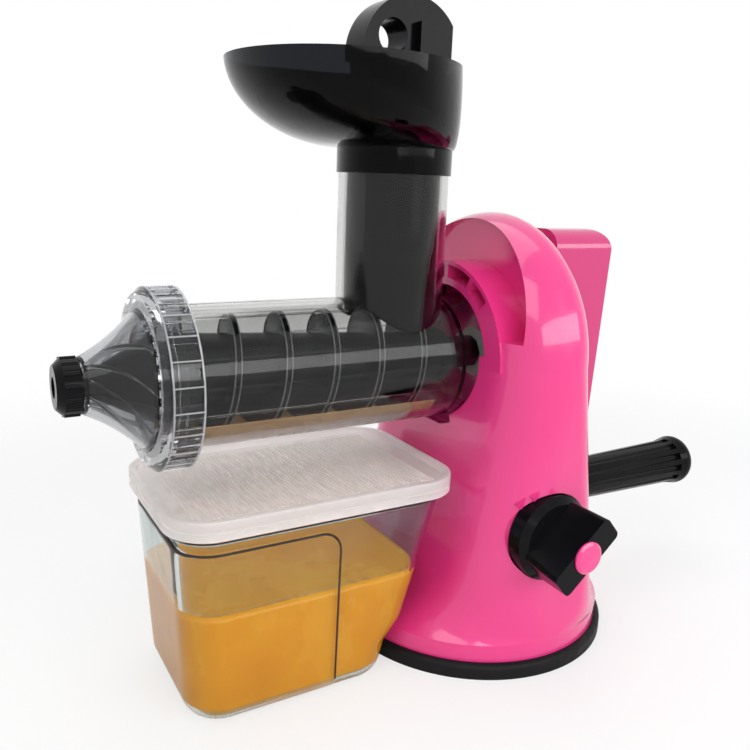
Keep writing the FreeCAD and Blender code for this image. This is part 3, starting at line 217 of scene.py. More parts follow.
lacquer = {"Specular IOR Level": 0.35, "Coat Weight": 0.7, "Coat Roughness": 0.04}
finishes = {
    "pink": mouldedPlastic("pinkShell", (0.82, 0.040, 0.245), (0.78, 0.034, 0.225), 0.2, lacquer),
    # Painted shade: a darker copy of the pink for the crank arm, which lies in the shade of the head.
    "shadedArmPink": mouldedPlastic("pinkShadedArm", (0.63, 0.031, 0.190), (0.60, 0.027, 0.175), 0.2, lacquer),
    "black": mouldedPlastic("blackMoulding", (0.005, 0.005, 0.006), (0.003, 0.003, 0.004), 0.17,
                            {"Specular IOR Level": 0.1}),
    "rubber": mouldedPlastic("blackRubber", (0.009, 0.009, 0.01), (0.006, 0.006, 0.007), 0.5,
                             {"Specular IOR Level": 0.15}, grain=1500, grainStrength=0.12),
    "white_plastic": mouldedPlastic("naturalNylon", (0.74, 0.74, 0.71), (0.68, 0.68, 0.65), 0.45, {},
                                    grain=700, grainStrength=0.05),
    "steel": mouldedPlastic("platedSteel", (0.60, 0.60, 0.61), (0.50, 0.50, 0.51), 0.28, {"Metallic": 1.0},
                            grain=2200, grainStrength=0.05),
    "clear": clearPlastic("clearPolished", (0.64, 0.645, 0.635), 0.03, (0.90, 0.90, 0.89), shine=0.42),
    # Painted shade: a darker copy of the clear plastic for the lock ring and cone, standing in for the dark
    # they show from what lies behind them.
    "shadedClear": clearPlastic("clearShaded", (0.52, 0.53, 0.545), 0.03, (0.72, 0.72, 0.73),
                          waves=0.09, shine=0.65),
    "cup": clearPlastic("clearCup", (0.68, 0.765, 0.76), 0.03, (0.94, 0.96, 0.95), shine=0.4),
    "smoky": clearPlastic("smokyPolished", (0.014, 0.015, 0.018), 0.05, (0.10, 0.10, 0.11),
                          ior=1.4, shine=0.25),
    "frosted": clearPlastic("frostedLid", (0.95, 0.915, 0.905), 0.42, (0.95, 0.93, 0.92),
                            waves=0.08, milk=0.3),
    # Painted shade: a dark finish for lines along the clear cup's panel edge and ridge, standing in for the
    # dark those clear edges show.
    "edge": mouldedPlastic("panelEdge", (0.045, 0.028, 0.026), (0.02, 0.012, 0.012), 0.2,
                           {"Specular IOR Level": 0.2}),
    # Painted highlight: a pale grey finish for lines that stand in for the glint on the auger crest's edges.
    "crest": mouldedPlastic("crestGlintPaint", (0.20, 0.205, 0.21), (0.12, 0.125, 0.13), 0.3,
                            {"Specular IOR Level": 0.3}),
    # Painted highlight: a pale, milky clear finish for bright lines that stand in for the glint on the lock
    # ring's edges.
    "glint": clearPlastic("clearGlintPaint", (0.80, 0.81, 0.83), 0.12, (0.85, 0.85, 0.86), milk=0.3),
}
bySlot = {row["node"]: row["material_slot"] for row in frame["record"]["subparts"]}
# Painted shade: the lock ring and cone take the darker clear copy, and the crank arm the darker pink copy.
ownFinish = {"juice_cup": "cup", "lock_ring": "shadedClear", "nozzle_cone": "shadedClear", "crank_arm": "shadedArmPink"}
for name, cadNode in nodes.items():
    dress(cadNode.data, finishes[ownFinish.get(name, bySlot[name])])
print("finishes on", len(nodes), "nodes")


# Small helpers for meshes.

def addObject(name, data):
    made = bpy.data.objects.new(name, data)
    bpy.context.scene.collection.objects.link(made)
    return made


def meshObject(name, verts, faces, material, smooth=True):
    mesh = bpy.data.meshes.new(name)
    mesh.from_pydata(verts, [], faces)
    dress(mesh, material)
    for face in mesh.polygons:
        face.use_smooth = smooth
    return addObject(name, mesh)


def turnOutwards(piece):
    edit = bmesh.new()
    edit.from_mesh(piece.data)
    bmesh.ops.recalc_face_normals(edit, faces=edit.faces)
    edit.to_mesh(piece.data)
    edit.free()
    return piece


def crisp(piece):
    piece.data.set_sharp_from_angle(angle=sharpAngle)
    return piece


# Joins rings of points into a closed skin; a flat face closes the first ring and the last.
def skinOfRings(name, rings, material):
    count = len(rings[0])
    last = (len(rings) - 1) * count
    faces = []
    for row in range(len(rings) - 1):
        for k in range(count):
            a, b = row * count + k, row * count + (k + 1) % count
            faces.append((a, b, b + count, a + count))
    faces.append(tuple(reversed(range(count))))
    faces.append(tuple(range(last, last + count)))
    return turnOutwards(meshObject(name, [point for ring in rings for point in ring], faces, material))


# A straight bar along Y, to be repeated about the barrel's axis.
def barShape(name, halfWidth, low, high, front, back, material):
    verts = [(x, y, z) for y in (front, back)
             for x, z in ((-halfWidth, low), (halfWidth, low), (halfWidth, high), (-halfWidth, high))]
    faces = [(0, 1, 2, 3), (7, 6, 5, 4), (0, 4, 5, 1), (1, 5, 6, 2), (2, 6, 7, 3), (3, 7, 4, 0)]
    return turnOutwards(meshObject(name, verts, faces, material, False))


# A round bead along a list of places.
def beadAlong(name, path, radius, material, closed=False):
    curve = bpy.data.curves.new(name, "CURVE")
    curve.dimensions = "3D"
    curve.bevel_depth = radius
    curve.bevel_resolution = 1
    curve.use_fill_caps = not closed
    line = curve.splines.new("POLY")
    line.points.add(len(path) - 1)
    line.use_cyclic_u = closed
    for point, place in zip(line.points, path):
        point.co = (*place, 1)
    holder = bpy.data.objects.new(name, curve)
    mesh = bpy.data.meshes.new_from_object(holder)
    bpy.data.objects.remove(holder)
    mesh.name = name
    dress(mesh, material)
    return turnOutwards(addObject(name, mesh))


# The surface of a CAD node, for rays that look for its wall.
def wallOf(node):
    mesh = nodes[node].data
    return BVHTree.FromPolygons([v.co for v in mesh.vertices], [p.vertices for p in mesh.polygons])


# Geometry Nodes: a tree that puts shapes on points, makes them real and gives them a finish.

def newGrowth(name, inputs):
    tree = bpy.data.node_groups.new(name, "GeometryNodeTree")
    sockets = {"Geometry": "NodeSocketGeometry", **inputs, "Finish": "NodeSocketMaterial"}
    for label, kind in sockets.items():
        tree.interface.new_socket(label, in_out="INPUT", socket_type=kind)
    tree.interface.new_socket("Geometry", in_out="OUTPUT", socket_type="NodeSocketGeometry")
    given = addNode(tree, "NodeGroupInput")
    shapes = addNode(tree, "GeometryNodeInstanceOnPoints")
    real = addNode(tree, "GeometryNodeRealizeInstances")
    finish = addNode(tree, "GeometryNodeSetMaterial")
    out = addNode(tree, "NodeGroupOutput")
    tree.links.new(shapes.outputs["Instances"], real.inputs["Geometry"])
    tree.links.new(real.outputs["Geometry"], finish.inputs["Geometry"])
    tree.links.new(given.outputs["Finish"], finish.inputs["Material"])
    tree.links.new(finish.outputs["Geometry"], out.inputs["Geometry"])
    return tree, given, shapes


# Copies of one shape turned about an axis that runs along Y.
def aroundBarrelTree():
    tree, given, shapes = newGrowth("aroundBarrel", {
        "Shape": "NodeSocketObject", "Count": "NodeSocketInt", "First Angle": "NodeSocketFloat",
        "Step": "NodeSocketFloat", "Axis Height": "NodeSocketFloat"})
    points = addNode(tree, "GeometryNodeMeshLine", {"Offset": (0, 0, 0)})
    info = addNode(tree, "GeometryNodeObjectInfo")
    index = addNode(tree, "GeometryNodeInputIndex")
    angle = addNode(tree, "ShaderNodeMath", operation="MULTIPLY_ADD")
    turn = addNode(tree, "ShaderNodeCombineXYZ")
    height = addNode(tree, "ShaderNodeCombineXYZ")
    lift = addNode(tree, "GeometryNodeSetPosition")
    link = tree.links.new
    link(given.outputs["Count"], points.inputs["Count"])
    link(given.outputs["Shape"], info.inputs["Object"])
    link(index.outputs["Index"], angle.inputs[0])
    link(given.outputs["Step"], angle.inputs[1])
    link(given.outputs["First Angle"], angle.inputs[2])
    link(angle.outputs[0], turn.inputs["Y"])
    link(given.outputs["Axis Height"], height.inputs["Z"])
    link(points.outputs["Mesh"], lift.inputs["Geometry"])
    link(height.outputs["Vector"], lift.inputs["Offset"])
    link(lift.outputs["Geometry"], shapes.inputs["Points"])
    link(info.outputs["Geometry"], shapes.inputs["Instance"])
    link(turn.outputs["Vector"], shapes.inputs["Rotation"])
    return tree


# Runs a tree on an empty mesh and keeps the result as a plain mesh.
def grow(name, tree, values):
    holder = addObject(name, bpy.data.meshes.new(name + "Seed"))
    modifier = holder.modifiers.new("build", "NODES")
    modifier.node_group = tree
    for item in tree.interface.items_tree:
        if item.item_type == "SOCKET" and item.in_out == "INPUT" and item.name in values:
            modifier[item.identifier] = values[item.name]
    holder.update_tag()
    evaluated = holder.evaluated_get(bpy.context.evaluated_depsgraph_get())
    mesh = bpy.data.meshes.new_from_object(evaluated)
    holder.modifiers.clear()
    holder.data = mesh
    mesh.name = name
    dress(mesh, values["Finish"])
    return holder


# Repeats a shape about the barrel's axis, and removes the shape that was copied.
def repeatAround(name, shape, count, first, step):
    made = grow(name, aroundBarrel, {
        "Shape": shape, "Count": count, "First Angle": first, "Step": step,
        "Axis Height": barrelHeight, "Finish": shape.data.materials[0]})
    bpy.data.objects.remove(shape)
    return made


aroundBarrel = aroundBarrelTree()


# Juice in the cup: it fills the cup's inside up to a level line, and climbs a little where it wets
# the wall.

juice = {
    "level": 50 * mm,
    "rise": 0.9 * mm,  # how far the edge climbs the wall
    "dip": ((1.2 * mm, 0.25 * mm), (3 * mm, 0)),  # two more rings: each one's inset and height over the level
    "soak": 0.15 * mm,  # the juice wets the wall, so it reaches just inside it
    "floor": 2.2 * mm,
    "spokes": 144,
    "rows": 26,
    "crowding": 1.6,  # rows lie closer together near the floor
    "middle": (0, -113 * mm),
    "cloud": 26,  # scale of the noise that gives the colour
    "cloudStretch": (1, 1, 0.6),
    "cloudRoughness": 0.6,
    "colours": [(0.25, (0.63, 0.235, 0.006)), (0.5, (0.74, 0.305, 0.010)), (0.78, (0.82, 0.40, 0.03))],
    "roughness": (0.18, 0.3),
    "foam": 420,  # scale of the fine bubbles
    "foamStrength": 0.06,
    "foamDepth": 0.4 * mm,
}


def juiceMaterial():
    material, tree = newMaterial("orangeJuice")
    place = objectPlace(tree)
    shader = addNode(tree, "ShaderNodeBsdfPrincipled", {
        "Subsurface Weight": 0.35, "Subsurface Radius": (0.02, 0.008, 0.003), "Subsurface Scale": 0.25,
        "IOR": 1.34})
    cloud = noiseAt(tree, objectPlace(tree, juice["cloudStretch"]), juice["cloud"], 4,
                    juice["cloudRoughness"])
    tree.links.new(ramp(tree, cloud, juice["colours"]), shader.inputs["Base Color"])
    tree.links.new(spread(tree, cloud, *juice["roughness"]), shader.inputs["Roughness"])
    fine = bump(tree, noiseAt(tree, place, juice["foam"], 3), juice["foamStrength"], juice["foamDepth"])
    tree.links.new(fine, shader.inputs["Normal"])
    finishMaterial(tree, shader.outputs["BSDF"])
    return material


def makeJuice():
    wall = wallOf("juice_cup")
    x, y = juice["middle"]
    spokes = [2 * math.pi * k / juice["spokes"] for k in range(juice["spokes"])]
    rings = []
    for row in range(juice["rows"] + 1):
        share = (row / juice["rows"]) ** juice["crowding"]
        height = juice["floor"] + (juice["level"] - juice["floor"]) * share
        rise = juice["rise"] if row == juice["rows"] else 0
        start = Vector((x, y, height))
        ring = []
        for angle in spokes:
            out = Vector((math.cos(angle), math.sin(angle), 0))
            reach = (wall.ray_cast(start, out)[0] - start).length + juice["soak"]
            ring.append((x + out.x * reach, y + out.y * reach, height + rise))
        rings.append(ring)
    for inset, over in juice["dip"]:
        ring = []
        for edgeX, edgeY, _ in rings[-1]:
            inward = Vector((x - edgeX, y - edgeY, 0)).normalized() * inset
            ring.append((edgeX + inward.x, edgeY + inward.y, juice["level"] + over))
        rings.append(ring)
    made = skinOfRings("juice_fill", rings, finishes["juice"])
    made.data.polygons[-1].use_smooth = made.data.polygons[-2].use_smooth = False
    return made


finishes["juice"] = juiceMaterial()
juiceFill = makeJuice()
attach(juiceFill, "cup")
print("juice:", len(juiceFill.data.vertices), "points")


# Swirled ribs inside the clear cone.

swirl = {
    "ribs": 9,
    "firstAngle": 0.2,
    "front": -190.5 * mm,
    "back": -162.5 * mm,
    "twist": math.radians(75),
    "twistCurve": 1.35,
    "gap": 0.05 * mm,
    "depth": 2.3 * mm,
    "endDepth": 0.25,  # share of the depth that is left at the ends
    "thickness": 1.1 * mm,  # at the foot
    "tipShare": 0.44,  # the tip is thinner
    "steps": 22,
}


def swirlRib():
    wall = wallOf("nozzle_cone")
    half = swirl["thickness"] / 2
    rings = []
    for step in range(swirl["steps"] + 1):
        share = step / swirl["steps"]
        y = swirl["front"] + (swirl["back"] - swirl["front"]) * share
        inside = wall.ray_cast(Vector((0, y, barrelHeight)), Vector((1, 0, 0)))[0].x
        foot = inside - swirl["gap"]
        arch = 4 * share * (1 - share)  # 0 at both ends, 1 halfway
        tip = foot - swirl["depth"] * min(1, swirl["endDepth"] + arch)
        middle = swirl["twist"] * (1 - share) ** swirl["twistCurve"]
        ring = []
        for radius, side in ((foot, -1), (foot, 1), (tip, swirl["tipShare"]), (tip, -swirl["tipShare"])):
            angle = middle + side * half / radius
            ring.append((radius * math.cos(angle), y, radius * math.sin(angle)))
        rings.append(ring)
    return skinOfRings("swirlRibShape", rings, finishes["clear"])


coneRibs = repeatAround("cone_swirl_ribs", swirlRib(), swirl["ribs"], swirl["firstAngle"],
                        2 * math.pi / swirl["ribs"])
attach(coneRibs, "barrel")
print("cone ribs:", len(coneRibs.data.polygons), "faces")


# A film of juice along the bottom of the barrel.

film = {
    "front": -157 * mm,
    "back": -44 * mm,
    "gap": 0.04 * mm,
    "thickness": 0.4 * mm,
    "halfAngle": math.radians(56),
    "steps": 40,
    "cloud": 90,
    "cloudStretch": (1, 0.4, 1),
    "cloudRoughness": 0.6,
    "colours": [(0.25, (0.50, 0.25, 0.11)), (0.6, (0.66, 0.38, 0.19)), (0.85, (0.74, 0.50, 0.30))],
    "roughness": (0.2, 0.35),
    "waves": 0.1,
    "waveDepth": 0.5 * mm,
}


def filmMaterial():
    material, tree = newMaterial("juiceFilm")
    shader = addNode(tree, "ShaderNodeBsdfPrincipled", {
        "IOR": 1.34, "Subsurface Weight": 0.2, "Subsurface Scale": 0.02})
    cloud = noiseAt(tree, objectPlace(tree, film["cloudStretch"]), film["cloud"], 4,
                    film["cloudRoughness"])
    tree.links.new(ramp(tree, cloud, film["colours"]), shader.inputs["Base Color"])
    tree.links.new(spread(tree, cloud, *film["roughness"]), shader.inputs["Roughness"])
    tree.links.new(bump(tree, cloud, film["waves"], film["waveDepth"]), shader.inputs["Normal"])
    finishMaterial(tree, shader.outputs["BSDF"])
    return material


def makeFilm():
    outer = barrelBore - film["gap"]
    inner = outer - film["thickness"]
    front, back = film["front"], film["back"]
    rings = []
    for step in range(film["steps"] + 1):
        angle = -math.pi / 2 + film["halfAngle"] * (2 * step / film["steps"] - 1)
        rings.append([(radius * math.cos(angle), y, barrelHeight + radius * math.sin(angle))
                      for y, radius in ((front, outer), (back, outer), (back, inner), (front, inner))])
    return crisp(skinOfRings("barrel_juice_film", rings, filmMaterial()))


juiceFilm = makeFilm()
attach(juiceFilm, "barrel")
print("film made")


# Cup: a flared rounded box with a panel that stands out of its front half, a bead and a flange
# under the lid.

cup = {
    "height": 88.5 * mm,
    "halfWidth": 36.5 * mm,  # at the foot, as is the far end
    "flareSide": 3 * mm,
    "far": 160.5 * mm,
    "flareFar": 5.5 * mm,
    "nearKnees": ((0, 71.2), (16, 67.4), (26, 59.5), (88.5, 41.8)),  # height and near end, millimetres
    "round": 15 * mm,
    "bottomRound": 7 * mm,
    "wall": 2 * mm,
    "flange": 1.6 * mm,
    "flangeHeight": 2 * mm,
    "flangeSlope": 0.1 * mm,
    "panelTop": 78 * mm,
    "panelEnd": 99 * mm,
    "panelStand": 1.2 * mm,
    "panelCorner": 9 * mm,
    "panelEdge": 1.3 * mm,
    "panelShadeLine": 0.6 * mm,  # radius of the painted shade line on the panel's edge
    "endGap": 1 * mm,  # left between the bead's bend and its run round the end
    "rimShadeLine": 0.35 * mm,  # radius of the painted shade line on the ridge
    "bead": 1.0 * mm,  # radius of the half-round ridge round the cup
    "beadHeight": 83.4 * mm,
    "rowStep": 0.75 * mm,
    "innerRows": 30,
    "bottomRows": 8,
    "cornerSteps": 11,
    "sideSteps": 100,
    "endSteps": 26,
    "riseSteps": 12,
    "bendSteps": 10,
}


def nearEnd(height):
    knees = [(level * mm, reach * mm) for level, reach in cup["nearKnees"]]
    for (low, start), (high, end) in zip(knees, knees[1:]):
        if height <= high:
            break
    return start - (start - end) * (height - low) / (high - low)


# The cup's outline at a height, grown outwards by a distance: each point with its direction outwards.
def cupRing(height, out):
    share = height / cup["height"]
    side = cup["halfWidth"] + cup["flareSide"] * share + out
    far = cup["far"] + cup["flareFar"] * share + out
    near = nearEnd(height) - out
    turn = cup["round"] + out
    corners = ((side - turn, -near - turn), (turn - side, -near - turn),
               (turn - side, turn - far), (side - turn, turn - far))
    ring = []
    for k, (x, y) in enumerate(corners):
        for step in range(cup["cornerSteps"]):
            angle = math.pi / 2 * (k + step / cup["cornerSteps"])
            nx, ny = math.cos(angle), math.sin(angle)
            ring.append((x + turn * nx, y + turn * ny, nx, ny))
        nx, ny = math.cos(math.pi / 2 * (k + 1)), math.sin(math.pi / 2 * (k + 1))
        nextX, nextY = corners[(k + 1) % 4]
        count = cup["sideSteps"] if k % 2 else cup["endSteps"]
        for step in range(count):
            along = step / count
            ring.append((x + nx * turn + (nextX - x) * along, y + ny * turn + (nextY - y) * along, nx, ny))
    return ring


def levelRing(height, out):
    return [(x, y, height) for x, y, nx, ny in cupRing(height, out)]


def softStep(value, width):
    share = min(1, max(0, 0.5 - value / width))
    return share * share * (3 - 2 * share)


# How far the outer wall stands out at a place: the panel with its rounded upper corner, then the bead.
def cupRelief(y, height):
    corner = cup["panelCorner"]
    across, up = y + cup["panelEnd"] + corner, height - cup["panelTop"] + corner
    edge = math.hypot(max(across, 0), max(up, 0)) + min(max(across, up), 0) - corner
    swell = max(0, 1 - ((height - cup["beadHeight"]) / cup["bead"]) ** 2)
    return cup["panelStand"] * softStep(edge, cup["panelEdge"]) + cup["bead"] * math.sqrt(swell)


def bottomInset(height, radius):
    rest = max(0, radius - height)
    return radius - math.sqrt(radius * radius - rest * rest)


def outerWall():
    radius, flangeLow = cup["bottomRound"], cup["height"] - cup["flangeHeight"]
    rows = round((flangeLow - radius) / cup["rowStep"])
    heights = [radius * (1 - math.cos(math.pi / 2 * k / cup["bottomRows"])) for k in range(cup["bottomRows"])]
    heights += [radius + (flangeLow - radius) * k / rows for k in range(rows + 1)]
    rings = []
    for height in heights:
        fade = min(1, height / radius)  # the panel dies out in the rounded bottom
        ring = []
        for x, y, nx, ny in cupRing(height, -bottomInset(height, radius)):
            relief = cupRelief(y, height) * fade
            ring.append((x + nx * relief, y + ny * relief, height))
        rings.append(ring)
    rings.append(levelRing(flangeLow + cup["flangeSlope"], cup["flange"]))
    rings.append(levelRing(cup["height"], cup["flange"]))
    return rings


def innerWall():
    wall = cup["wall"]
    radius = cup["bottomRound"] - wall
    low, top = wall + radius, cup["height"]
    rings = []
    for k in range(cup["innerRows"] + 1):
        rings.append(levelRing(low + (top - low) * (1 - k / cup["innerRows"]), -wall))
    for k in range(1, cup["bottomRows"] + 1):
        height = radius * (1 - math.sin(math.pi / 2 * k / cup["bottomRows"]))
        rings.append(levelRing(wall + height, -wall - bottomInset(height, radius)))
    return rings


# Painted shade: a dark line on the panel's edge, up one side of the cup, over the rounded corner and round
# the end.
def panelShadeLine():
    corner, end, top, foot = cup["panelCorner"], cup["panelEnd"], cup["panelTop"], cup["bottomRound"]
    stand = cup["panelStand"] / 2

    def sideAt(y, height):
        return (cup["halfWidth"] + cup["flareSide"] * height / cup["height"] + stand, y, height)

    arm = []
    for k in range(cup["riseSteps"] + 1):
        arm.append(sideAt(-end, foot + (top - corner - foot) * k / cup["riseSteps"]))
    for k in range(1, cup["bendSteps"] + 1):
        angle = math.pi / 2 * k / cup["bendSteps"]
        arm.append(sideAt(-end - corner * (1 - math.cos(angle)), top - corner * (1 - math.sin(angle))))
    around = [place for place in levelRing(top, stand) if place[1] < -end - corner - cup["endGap"]]
    path = [(-x, y, z) for x, y, z in arm] + around + arm[::-1]
    return beadAlong("cup_panel_bead", path, cup["panelShadeLine"], finishes["edge"])


# Painted shade: a dark line round the ridge.
def rimShadeLine():
    path = levelRing(cup["beadHeight"], cup["bead"])
    return beadAlong("cup_rim_bead", path, cup["rimShadeLine"], finishes["edge"], True)


cupShell = crisp(skinOfRings("cup_shell", outerWall() + innerWall(), finishes["cup"]))
for bead in (panelShadeLine(), rimShadeLine()):
    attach(bead, "cup")
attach(cupShell, "cup")
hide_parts("juice_cup")
print("cup:", len(cupShell.data.polygons), "faces")


# Lid: a plate with a raised rim, a skirt with a groove round it, and fine ribs across the top.

lid = {
    "plate": 90.95 * mm,
    # From the underside, round the skirt and over the rim to the plate: outwards and height, millimetres.
    "profile": ((2.0, 88.55), (2.0, 85.5), (2.3, 85.3), (3.5, 85.3), (3.8, 85.6), (3.8, 88.7), (3.1, 89.0),
                (3.1, 89.6), (3.8, 89.9), (3.8, 92.9), (3.5, 93.4), (2.9, 93.55), (1.2, 93.55), (0.7, 93.3),
                (0.4, 92.8), (0.4, 91.4), (0.1, 90.95)),
    "ribPitch": 1.8 * mm,
    "ribWidth": 0.75 * mm,
    "ribHeight": 0.5 * mm,
    "ribSides": 5 * mm,  # bare margin beside the ribs, and at the ends
    "ribEnds": 7 * mm,
}


def makeLid():
    rings = []
    for out, height in lid["profile"]:
        rings.append([(x, y, height * mm) for x, y, nx, ny in cupRing(cup["height"], out * mm)])
    return crisp(skinOfRings("lid_shell", rings, finishes["frosted"]))


# Straight bars side by side.
def lidRibTree():
    tree, given, shapes = newGrowth("lidRibs", {
        "Count": "NodeSocketInt", "Size": "NodeSocketVector", "Start": "NodeSocketVector",
        "Step": "NodeSocketVector"})
    line = addNode(tree, "GeometryNodeMeshLine")
    bar = addNode(tree, "GeometryNodeMeshCube")
    link = tree.links.new
    link(given.outputs["Count"], line.inputs["Count"])
    link(given.outputs["Start"], line.inputs["Start Location"])
    link(given.outputs["Step"], line.inputs["Offset"])
    link(given.outputs["Size"], bar.inputs["Size"])
    link(line.outputs["Mesh"], shapes.inputs["Points"])
    link(bar.outputs["Mesh"], shapes.inputs["Instance"])
    return tree


def makeLidRibs():
    ends = [y for x, y, nx, ny in cupRing(cup["height"], 0)]
    start, stop = min(ends) + lid["ribEnds"], max(ends) - lid["ribEnds"]
    span = 2 * (cup["halfWidth"] + cup["flareSide"] - lid["ribSides"])
    return grow("lid_ribs", lidRibTree(), {
        "Count": int((stop - start) / lid["ribPitch"]), "Size": (span, lid["ribWidth"], 2 * lid["ribHeight"]),
        "Start": (0, start, lid["plate"]), "Step": (0, lid["ribPitch"], 0), "Finish": finishes["frosted"]})


lidShell = makeLid()
lidRibs = makeLidRibs()
for piece in (lidShell, lidRibs):
    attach(piece, "lid")
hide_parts("cup_lid")
print("lid:", len(lidRibs.data.polygons), "faces of ribs")


# Painted highlights on the lock ring: a bright rail near each end and a bright bar on each of its ridges
# stand in for the glint of its edges.

ringGlints = {
    "ridges": 24,
    "ridgeStart": 3.2 * mm,
    "backInset": 0.9 * mm,
    "barHalfWidth": 0.28 * mm,
    "barHeight": 0.28 * mm,
    "sunk": 0.1 * mm,
    "rail": 0.4 * mm,
    "railSteps": 96,
}
ringLow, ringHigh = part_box("lock_ring")
ringRadius = ringHigh[0]
ringFront, ringBack = ringLow[1] + ringGlints["ridgeStart"], ringHigh[1] - ringGlints["backInset"]


def ringGlintBars():
    pitch = 2 * math.pi / ringGlints["ridges"]
    shape = barShape("ridgeBarShape", ringGlints["barHalfWidth"], ringRadius - ringGlints["sunk"],
                     ringRadius + ringGlints["barHeight"], ringFront, ringBack, finishes["glint"])
    return repeatAround("ring_ridge_bars", shape, ringGlints["ridges"], pitch / 2, pitch)


def ringGlintRail(name, y):
    path = []
    for step in range(ringGlints["railSteps"]):
        angle = 2 * math.pi * step / ringGlints["railSteps"]
        path.append((ringRadius * math.cos(angle), y, barrelHeight + ringRadius * math.sin(angle)))
    return beadAlong(name, path, ringGlints["rail"], finishes["glint"], True)


for piece in (ringGlintBars(), ringGlintRail("ring_rail_front", ringFront), ringGlintRail("ring_rail_back", ringBack)):
    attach(piece, "ring")
print("ring edges made")


# Painted highlight: a paler line along both edges of the auger flight's crest stands in for the glint there.

crest = {
    "radius": -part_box("auger")[0][0],
    "pitch": 21.5 * mm,
    "width": 2.4 * mm,
    "front": -156.2 * mm,
    "length": 117 * mm,
    "line": 0.28 * mm,
    "stepsPerTurn": 60,
}


def crestGlintLine(name, shift):
    turns = crest["length"] / crest["pitch"]
    count = round(turns * crest["stepsPerTurn"])
    path = []
    for step in range(count + 1):
        turn = turns * step / count
        angle = math.pi / 2 + 2 * math.pi * turn
        path.append((crest["radius"] * math.cos(angle), crest["front"] + shift + crest["pitch"] * turn,
                     barrelHeight + crest["radius"] * math.sin(angle)))
    return beadAlong(name, path, crest["line"], finishes["crest"])


for name, shift in (("auger_crest_front", 0), ("auger_crest_back", crest["width"])):
    edge = crestGlintLine(name, shift)
    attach(edge, "auger")
print("auger crest lines made")


# Fine guide ribs along the barrel's inner wall, in groups of three; the top ones end before the feed tube.

guide = {
    "sunk": 0.05 * mm,  # into the wall
    "stand": 0.4 * mm,
    "halfWidth": 0.4 * mm,
    "front": -156.5 * mm,
    "back": -36 * mm,
    "tubeFront": -84 * mm,
    "step": math.radians(24),
    "perGroup": 3,
    "topFirst": -1,  # first rib of each group, in steps from straight up
    "rightFirst": 2.7,
    "leftFirst": -4.7,
}


def guideRibs(name, first, back):
    shape = barShape("guideRibShape", guide["halfWidth"], barrelBore - guide["stand"],
                     barrelBore + guide["sunk"], guide["front"], back, finishes["clear"])
    return repeatAround(name, shape, guide["perGroup"], first * guide["step"], guide["step"])


for piece in (guideRibs("barrel_ribs_top", guide["topFirst"], guide["tubeFront"]),
              guideRibs("barrel_ribs_right", guide["rightFirst"], guide["back"]),
              guideRibs("barrel_ribs_left", guide["leftFirst"], guide["back"])):
    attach(piece, "barrel")
print("guide ribs made")


# Camera, lamps, world and floor.

camera = {
    "place": (0.3051, -0.2432, 0.2187),
    "azimuth": math.radians(59.34),
    "pitch": math.radians(13.7),
    "roll": math.radians(2.24),
    "focal": 785.6,  # in pixels of an image this wide
    "imageWidth": 750,
    "sensor": 36,
    "near": 0.01,
    "far": 20,
}


def makeCamera():
    azimuth, pitch, roll = camera["azimuth"], camera["pitch"], camera["roll"]
    side = Vector((math.cos(azimuth), math.sin(azimuth), 0))
    level = Vector((math.sin(azimuth), -math.cos(azimuth), 0))
    back = math.cos(pitch) * level + Vector((0, 0, math.sin(pitch)))
    up = back.cross(side)
    right = math.cos(roll) * side + math.sin(roll) * up
    top = -math.sin(roll) * side + math.cos(roll) * up
    data = bpy.data.cameras.new("camera")
    data.sensor_width = camera["sensor"]
    data.lens = camera["focal"] / camera["imageWidth"] * camera["sensor"]
    data.clip_start, data.clip_end = camera["near"], camera["far"]
    made = addObject("camera", data)
    turn = Matrix((right, top, back)).transposed().to_4x4()
    made.matrix_world = Matrix.Translation(camera["place"]) @ turn
    bpy.context.scene.camera = made


lamps = {
    "keyLamp": {"place": (0.55, -0.75, 0.95), "aim": (0, -0.03, 0.12), "size": (0.7, 0.7), "power": 3.2},
    "sideLamp": {"place": (0.9, 0.25, 0.55), "aim": (0, 0, 0.12), "size": (0.35, 0.9), "power": 0.3},
    "topLamp": {"place": (-0.25, -0.1, 1.1), "aim": (0, -0.05, 0.1), "size": (0.9, 0.9), "power": 3.6},
    "sideBox": {"place": (0.68, 0.1, 0.38), "aim": (0, -0.05, 0.14), "size": (1.2, 0.24), "power": 3.4},
}


def softLamp(name, lamp):
    data = bpy.data.lights.new(name, "AREA")
    data.shape = "RECTANGLE"
    data.size, data.size_y = lamp["size"]
    data.energy = lamp["power"]
    made = addObject(name, data)
    made.location = lamp["place"]
    made.rotation_euler = (Vector(lamp["aim"]) - Vector(lamp["place"])).to_track_quat("-Z", "Y").to_euler()


room = {
    "fill": 0.5,  # strength of the white room as light
    "seen": 1.0,  # strength where it is seen, mirrored or looked at through clear parts
    "floor": (0.95, 0.95, 0.95),
    "glow": 0.6,  # share of plain white on the floor as it is seen
    "fadeStart": 0.28,  # the floor fades into the room between these distances
    "fadeEnd": 0.62,
    "reach": 0.7,  # half the floor's width
}


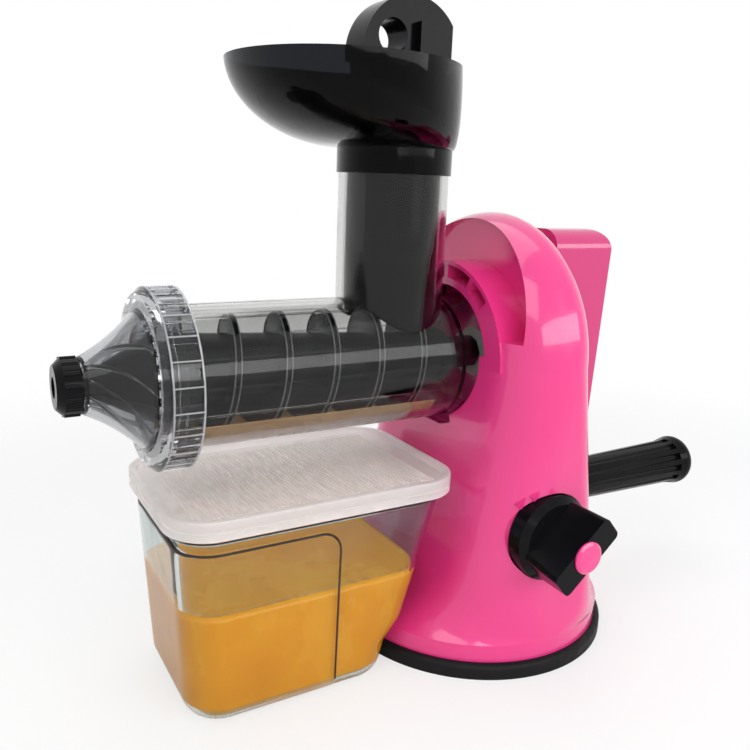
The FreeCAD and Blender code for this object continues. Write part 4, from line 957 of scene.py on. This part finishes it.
def makeWorld():
    world = bpy.data.worlds.new("room")
    bpy.context.scene.world = world
    world.use_nodes = True
    tree = world.node_tree
    tree.nodes.clear()
    path = addNode(tree, "ShaderNodeLightPath")
    mirrored = addNode(tree, "ShaderNodeMath", operation="MAXIMUM")
    seen = addNode(tree, "ShaderNodeMath", operation="MAXIMUM")
    tree.links.new(path.outputs["Is Camera Ray"], mirrored.inputs[0])
    tree.links.new(path.outputs["Is Glossy Ray"], mirrored.inputs[1])
    tree.links.new(mirrored.outputs[0], seen.inputs[0])
    tree.links.new(path.outputs["Is Transmission Ray"], seen.inputs[1])
    strength = addNode(tree, "ShaderNodeMapRange", {"To Min": room["fill"], "To Max": room["seen"]})
    tree.links.new(seen.outputs[0], strength.inputs["Value"])
    light = addNode(tree, "ShaderNodeBackground", {"Color": (1, 1, 1, 1)})
    tree.links.new(strength.outputs["Result"], light.inputs["Strength"])
    out = addNode(tree, "ShaderNodeOutputWorld")
    tree.links.new(light.outputs["Background"], out.inputs["Surface"])


def floorMaterial():
    material, tree = newMaterial("paleFloor")
    place = addNode(tree, "ShaderNodeTexCoord")
    distance = addNode(tree, "ShaderNodeVectorMath", operation="LENGTH")
    tree.links.new(place.outputs["Object"], distance.inputs[0])
    fade = addNode(tree, "ShaderNodeMapRange", {
        "From Min": room["fadeStart"], "From Max": room["fadeEnd"], "To Min": 0, "To Max": 1},
                   interpolation_type="SMOOTHSTEP")
    tree.links.new(distance.outputs["Value"], fade.inputs["Value"])
    path = addNode(tree, "ShaderNodeLightPath")
    lit = addNode(tree, "ShaderNodeMath", {1: room["glow"]}, operation="MULTIPLY")
    tree.links.new(path.outputs["Is Camera Ray"], lit.inputs[0])
    cover = addNode(tree, "ShaderNodeBsdfDiffuse", {"Color": (*room["floor"], 1)})
    glow = addNode(tree, "ShaderNodeEmission", {"Strength": 1.0})
    seen = addNode(tree, "ShaderNodeMixShader")
    tree.links.new(lit.outputs[0], seen.inputs["Fac"])
    tree.links.new(cover.outputs["BSDF"], seen.inputs[1])
    tree.links.new(glow.outputs["Emission"], seen.inputs[2])
    clear = addNode(tree, "ShaderNodeBsdfTransparent")
    mix = addNode(tree, "ShaderNodeMixShader")
    tree.links.new(fade.outputs["Result"], mix.inputs["Fac"])
    tree.links.new(seen.outputs["Shader"], mix.inputs[1])
    tree.links.new(clear.outputs["BSDF"], mix.inputs[2])
    finishMaterial(tree, mix.outputs["Shader"])
    return material


def makeFloor():
    reach = room["reach"]
    corners = [(-reach, -reach, 0), (reach, -reach, 0), (reach, reach, 0), (-reach, reach, 0)]
    floor = meshObject("floor", corners, [(0, 1, 2, 3)], floorMaterial(), False)


makeCamera()
makeWorld()
makeFloor()
for name, lamp in lamps.items():
    softLamp(name, lamp)
bpy.context.scene.view_settings.view_transform = "Standard"
print("camera, lamps and floor ready")
